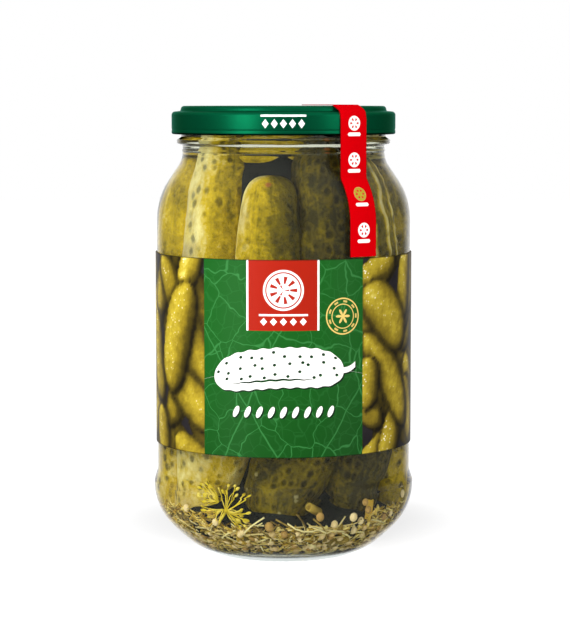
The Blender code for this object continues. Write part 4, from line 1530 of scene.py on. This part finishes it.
def tube(name, line, radius, resolution=2):
    """A round stem along a line of points, as a closed mesh."""
    curve = bpy.data.curves.new(name, "CURVE")
    curve.dimensions = "3D"
    curve.bevel_depth = radius
    curve.bevel_resolution = resolution
    curve.use_fill_caps = True
    spline = curve.splines.new("POLY")
    spline.points.add(len(line) - 1)
    for point, place in zip(spline.points, line):
        point.co = (*place, 1.0)
    obj = bpy.data.objects.new(name, curve)
    bpy.context.scene.collection.objects.link(obj)
    activate(obj)
    bpy.ops.object.convert(target="MESH")
    made = bpy.context.object
    begin_edit(made)
    bpy.ops.mesh.remove_doubles(threshold=WELD / 2)
    bpy.ops.mesh.normals_make_consistent(inside=False)
    end_edit()
    return made


class JAR_OT_dill(bpy.types.Operator):
    """Spread the dill head behind the front wall: a hub, thin rays and buds"""

    bl_idname = "jar.dill"
    bl_label = "Dill Head"

    def execute(self, context):
        glass = context.scene.jar_glass
        contents = context.scene.jar_contents

        def against_wall(aside, rise, depth=0.0):
            height = contents.dill_height + rise
            radius = wall_radius(glass, height) - DILL_DEPTH - depth
            return on_ring(contents.dill_bearing + aside / radius, radius, height)

        draw = random.Random(DILL_DRAW)
        pieces = []
        for hub_aside, hub_rise, from_turn, to_turn, count in UMBELS:
            for index in range(count):
                share_round = (index + draw.uniform(0.1, 0.9)) / count
                turn = math.radians(from_turn + (to_turn - from_turn) * share_round)
                long = DILL_RAY_LENGTH * draw.uniform(0.55, 1.08)
                depth = draw.uniform(-0.9, 1.6) * MM
                bend = draw.uniform(-1.0, 1.0) * MM
                line = []
                for share in (step / DILL_RAY_STEPS for step in range(DILL_RAY_STEPS + 1)):
                    bow = bend * math.sin(share * math.pi)
                    aside = hub_aside + long * share * math.sin(turn) + bow * math.cos(turn)
                    rise = hub_rise + long * share * math.cos(turn) - bow * math.sin(turn)
                    line.append(against_wall(aside, rise, depth * share))
                pieces.append(tube("ray", line, draw.uniform(0.13, 0.22) * MM))
                size = draw.uniform(0.36, 0.62) * MM
                deselect()
                bpy.ops.mesh.primitive_uv_sphere_add(segments=10, ring_count=7, radius=size)
                bud = bpy.context.object
                lean = (line[-1] - line[-2]).to_track_quat("Z", "Y").to_matrix()
                shape = lean @ Matrix.Diagonal((1.0, 1.0, draw.uniform(1.3, 2.2)))
                set_points(bud, points_of(bud) @ np.array(shape).T + np.array(line[-1]))
                pieces.append(bud)
        deselect()
        bpy.ops.mesh.primitive_uv_sphere_add(
            segments=16, ring_count=10, radius=0.9 * MM, location=against_wall(0, 0)
        )
        hub = added("hub")
        bpy.ops.object.transform_apply()
        stem = [against_wall(-0.8 * MM * step, -0.9 * MM * step, 0.3 * MM) for step in range(7)]
        pieces.append(tube("stem", stem, 0.5 * MM, 3))
        head = joined("dill_umbel", [hub, *pieces])
        points = points_of(head)
        swell = swell_of(points, 400)
        set_attribute(head, "tone", np.clip(0.6 + swell * 0.8, 0, 1))
        head.data.shade_smooth()
        stops = three_stops(srgb(160, 132, 30), contents.dill, srgb(246, 226, 110))
        finish_piece(head, spice_paint("dill", stops, 0.45, 500.0, 0.1 * MM), "dill", "dill_head")
        return {"FINISHED"}


def softbox(name, bearing, distance, height, size, power, glossy):
    """A soft lamp turned to the jar: it lights it, or only shows in the lid's and paper's gloss."""
    lamp = bpy.data.lights.new(name, "AREA")
    lamp.shape = "RECTANGLE"
    lamp.size, lamp.size_y = size
    lamp.energy = power
    obj = bpy.data.objects.new(name, lamp)
    bpy.context.scene.collection.objects.link(obj)
    obj.location = on_ring(bearing, distance, height)
    to_jar = Vector((0, 0, LAMPS_LOOK_AT)) - obj.location
    obj.rotation_euler = to_jar.to_track_quat("-Z", "Y").to_euler()
    obj.visible_glossy = glossy
    obj.visible_transmission = glossy
    obj.visible_diffuse = not glossy
    if glossy:
        paint = Paint(lamp)
        across, along, _ = paint.split(paint.node("ShaderNodeNewGeometry", output="Parametric"))
        soft = abs(across - 0.5).rise(0.5, 0.0) * abs(along - 0.5).rise(0.5, 0.1)
        paint.feed(paint.tree.nodes["Emission"].inputs["Strength"], soft)
        dry = bpy.data.collections.new(f"{name} reflections")
        for piece in ("lid_cap", "label_paper", "seal_paper"):
            dry.objects.link(bpy.data.objects[piece])
        obj.light_linking.receiver_collection = dry


def light_paths(paint):
    """Which rays see straight or through glass, which light the jar, and which have been mirrored
    and gone through glass: three shares, 0 or 1 each."""
    depths = [
        paint.node("ShaderNodeLightPath", output=name).least(1.0)
        for name in ("Diffuse Depth", "Glossy Depth", "Transmission Depth")
    ]
    lit, glossy, through = depths
    seen = (1.0 - lit) * (1.0 - glossy)
    inside_glass = (1.0 - lit) * glossy * through
    return seen, lit, inside_glass


def white_room(sky):
    """A white backdrop, also in glancing reflections of what is behind, and a dimmer room for the
    light and the other reflections, which brightens overhead."""
    world = bpy.data.worlds.new("white room")
    bpy.context.scene.world = world
    paint = Paint(world)
    direction = paint.node("ShaderNodeTexCoord", output="Generated")
    _, back, up = paint.split(direction)
    seen, lit, inside_glass = light_paths(paint)
    grazing = (1.0 - lit) * (1.0 - seen - inside_glass).most(0.0) * back.rise(0.72, 0.94)
    white = seen + inside_glass + grazing
    room = sky * (0.3 + 1.3 * up.rise(-0.1, 0.9))
    paint.feed(paint.tree.nodes["Background"].inputs["Strength"], white + (1.0 - white) * room)
    paint.feed(paint.tree.nodes["Background"].inputs["Color"], (1.0, 1.0, 1.0))


def floor_paint():
    """A pale floor that is seen with a painted soft shadow round and behind the jar, and as white
    in the distance.
    """
    paint = Paint(bpy.data.materials.new("white floor"))
    x, y, _ = paint.split(paint.place())
    behind = y - SHADE_BEHIND
    far = (x * x + behind * behind).root().rise(0.04, 0.09)
    seen, lit, inside_glass = light_paths(paint)
    grain = paint.noise(paint.place(), 40.0, 3.0) * 0.02
    # Painted shadow: the floor's emission for straight-seen rays is dimmed in a soft patch round a
    # point behind the jar.
    shown = FLOOR_SHADE + (1 - FLOOR_SHADE) * far + grain
    glow = (seen * shown + inside_glass) / FLOOR_GLOW + lit
    black, white, dim = ((value,) * 3 for value in (0.0, 1.0, 0.13))
    paint.principled(
        Base_Color=paint.mix(lit.most(seen), black, dim),
        Roughness=0.6 + grain,
        Specular_IOR_Level=0.0,
        Emission_Color=paint.mix(glow, black, white),
        Emission_Strength=FLOOR_GLOW,
    )
    return paint.material


class JAR_OT_stage(bpy.types.Operator):
    """Set out the white floor, the lamps and the camera"""

    bl_idname = "jar.stage"
    bl_label = "Stage"

    def execute(self, context):
        stage = context.scene.jar_stage
        scene = context.scene
        scene.view_settings.view_transform = "Standard"
        white_room(stage.sky)
        deselect()
        bpy.ops.mesh.primitive_circle_add(
            vertices=96, radius=3.0, fill_type="NGON", location=(0, 0, -0.05 * MM)
        )
        floor = added("floor")
        floor.data.materials.append(floor_paint())
        floor.visible_glossy = False
        for name, bearing, distance, height, size, share, glossy in LAMPS:
            watts = share * getattr(stage, "glow" if glossy else name)
            softbox(name, math.radians(bearing), distance, height, size, watts, glossy)
        camera = bpy.data.cameras.new("camera")
        camera.lens = stage.lens
        camera.sensor_width = 36
        camera.clip_start = 0.01
        eye = bpy.data.objects.new("camera", camera)
        scene.collection.objects.link(eye)
        eye.location = (stage.aside, -stage.distance, stage.height)
        eye.rotation_euler = (math.pi / 2 - stage.tilt, 0, 0)
        scene.camera = eye
        return {"FINISHED"}


class JAR_PT_panel(bpy.types.Panel):
    """Lists the jar's pieces and settings"""

    bl_label = "Jar of Gherkins"
    bl_space_type = "VIEW_3D"
    bl_region_type = "UI"
    bl_category = "Jar"

    def draw(self, context):
        for operator in OPERATORS:
            self.layout.operator(operator.bl_idname)
        for name, group in GROUPS.items():
            box = self.layout.box()
            for key in group.__annotations__:
                box.prop(getattr(context.scene, name), key)


OPERATORS = (
    JAR_OT_glass,
    JAR_OT_brine,
    JAR_OT_lid,
    JAR_OT_label,
    JAR_OT_strip,
    JAR_OT_gherkins,
    JAR_OT_spices,
    JAR_OT_dill,
    JAR_OT_stage,
)
GROUPS = {
    "jar_glass": GlassSettings,
    "jar_lid": LidSettings,
    "jar_print": PrintSettings,
    "jar_contents": ContentsSettings,
    "jar_stage": StageSettings,
}


def register():
    for name, group in GROUPS.items():
        bpy.utils.register_class(group)
        setattr(bpy.types.Scene, name, bpy.props.PointerProperty(type=group))
    for each in (*OPERATORS, JAR_PT_panel):
        bpy.utils.register_class(each)


def unregister():
    for each in reversed((*OPERATORS, JAR_PT_panel)):
        bpy.utils.unregister_class(each)
    for name, group in reversed(GROUPS.items()):
        delattr(bpy.types.Scene, name)
        bpy.utils.unregister_class(group)


def main():
    register()
    bpy.ops.jar.glass()
    bpy.ops.jar.brine()
    bpy.ops.jar.lid()
    bpy.ops.jar.label()
    bpy.ops.jar.strip()
    bpy.ops.jar.gherkins()
    bpy.ops.jar.spices()
    bpy.ops.jar.dill()
    bpy.ops.jar.stage()


if __name__ == "__main__":
    main()
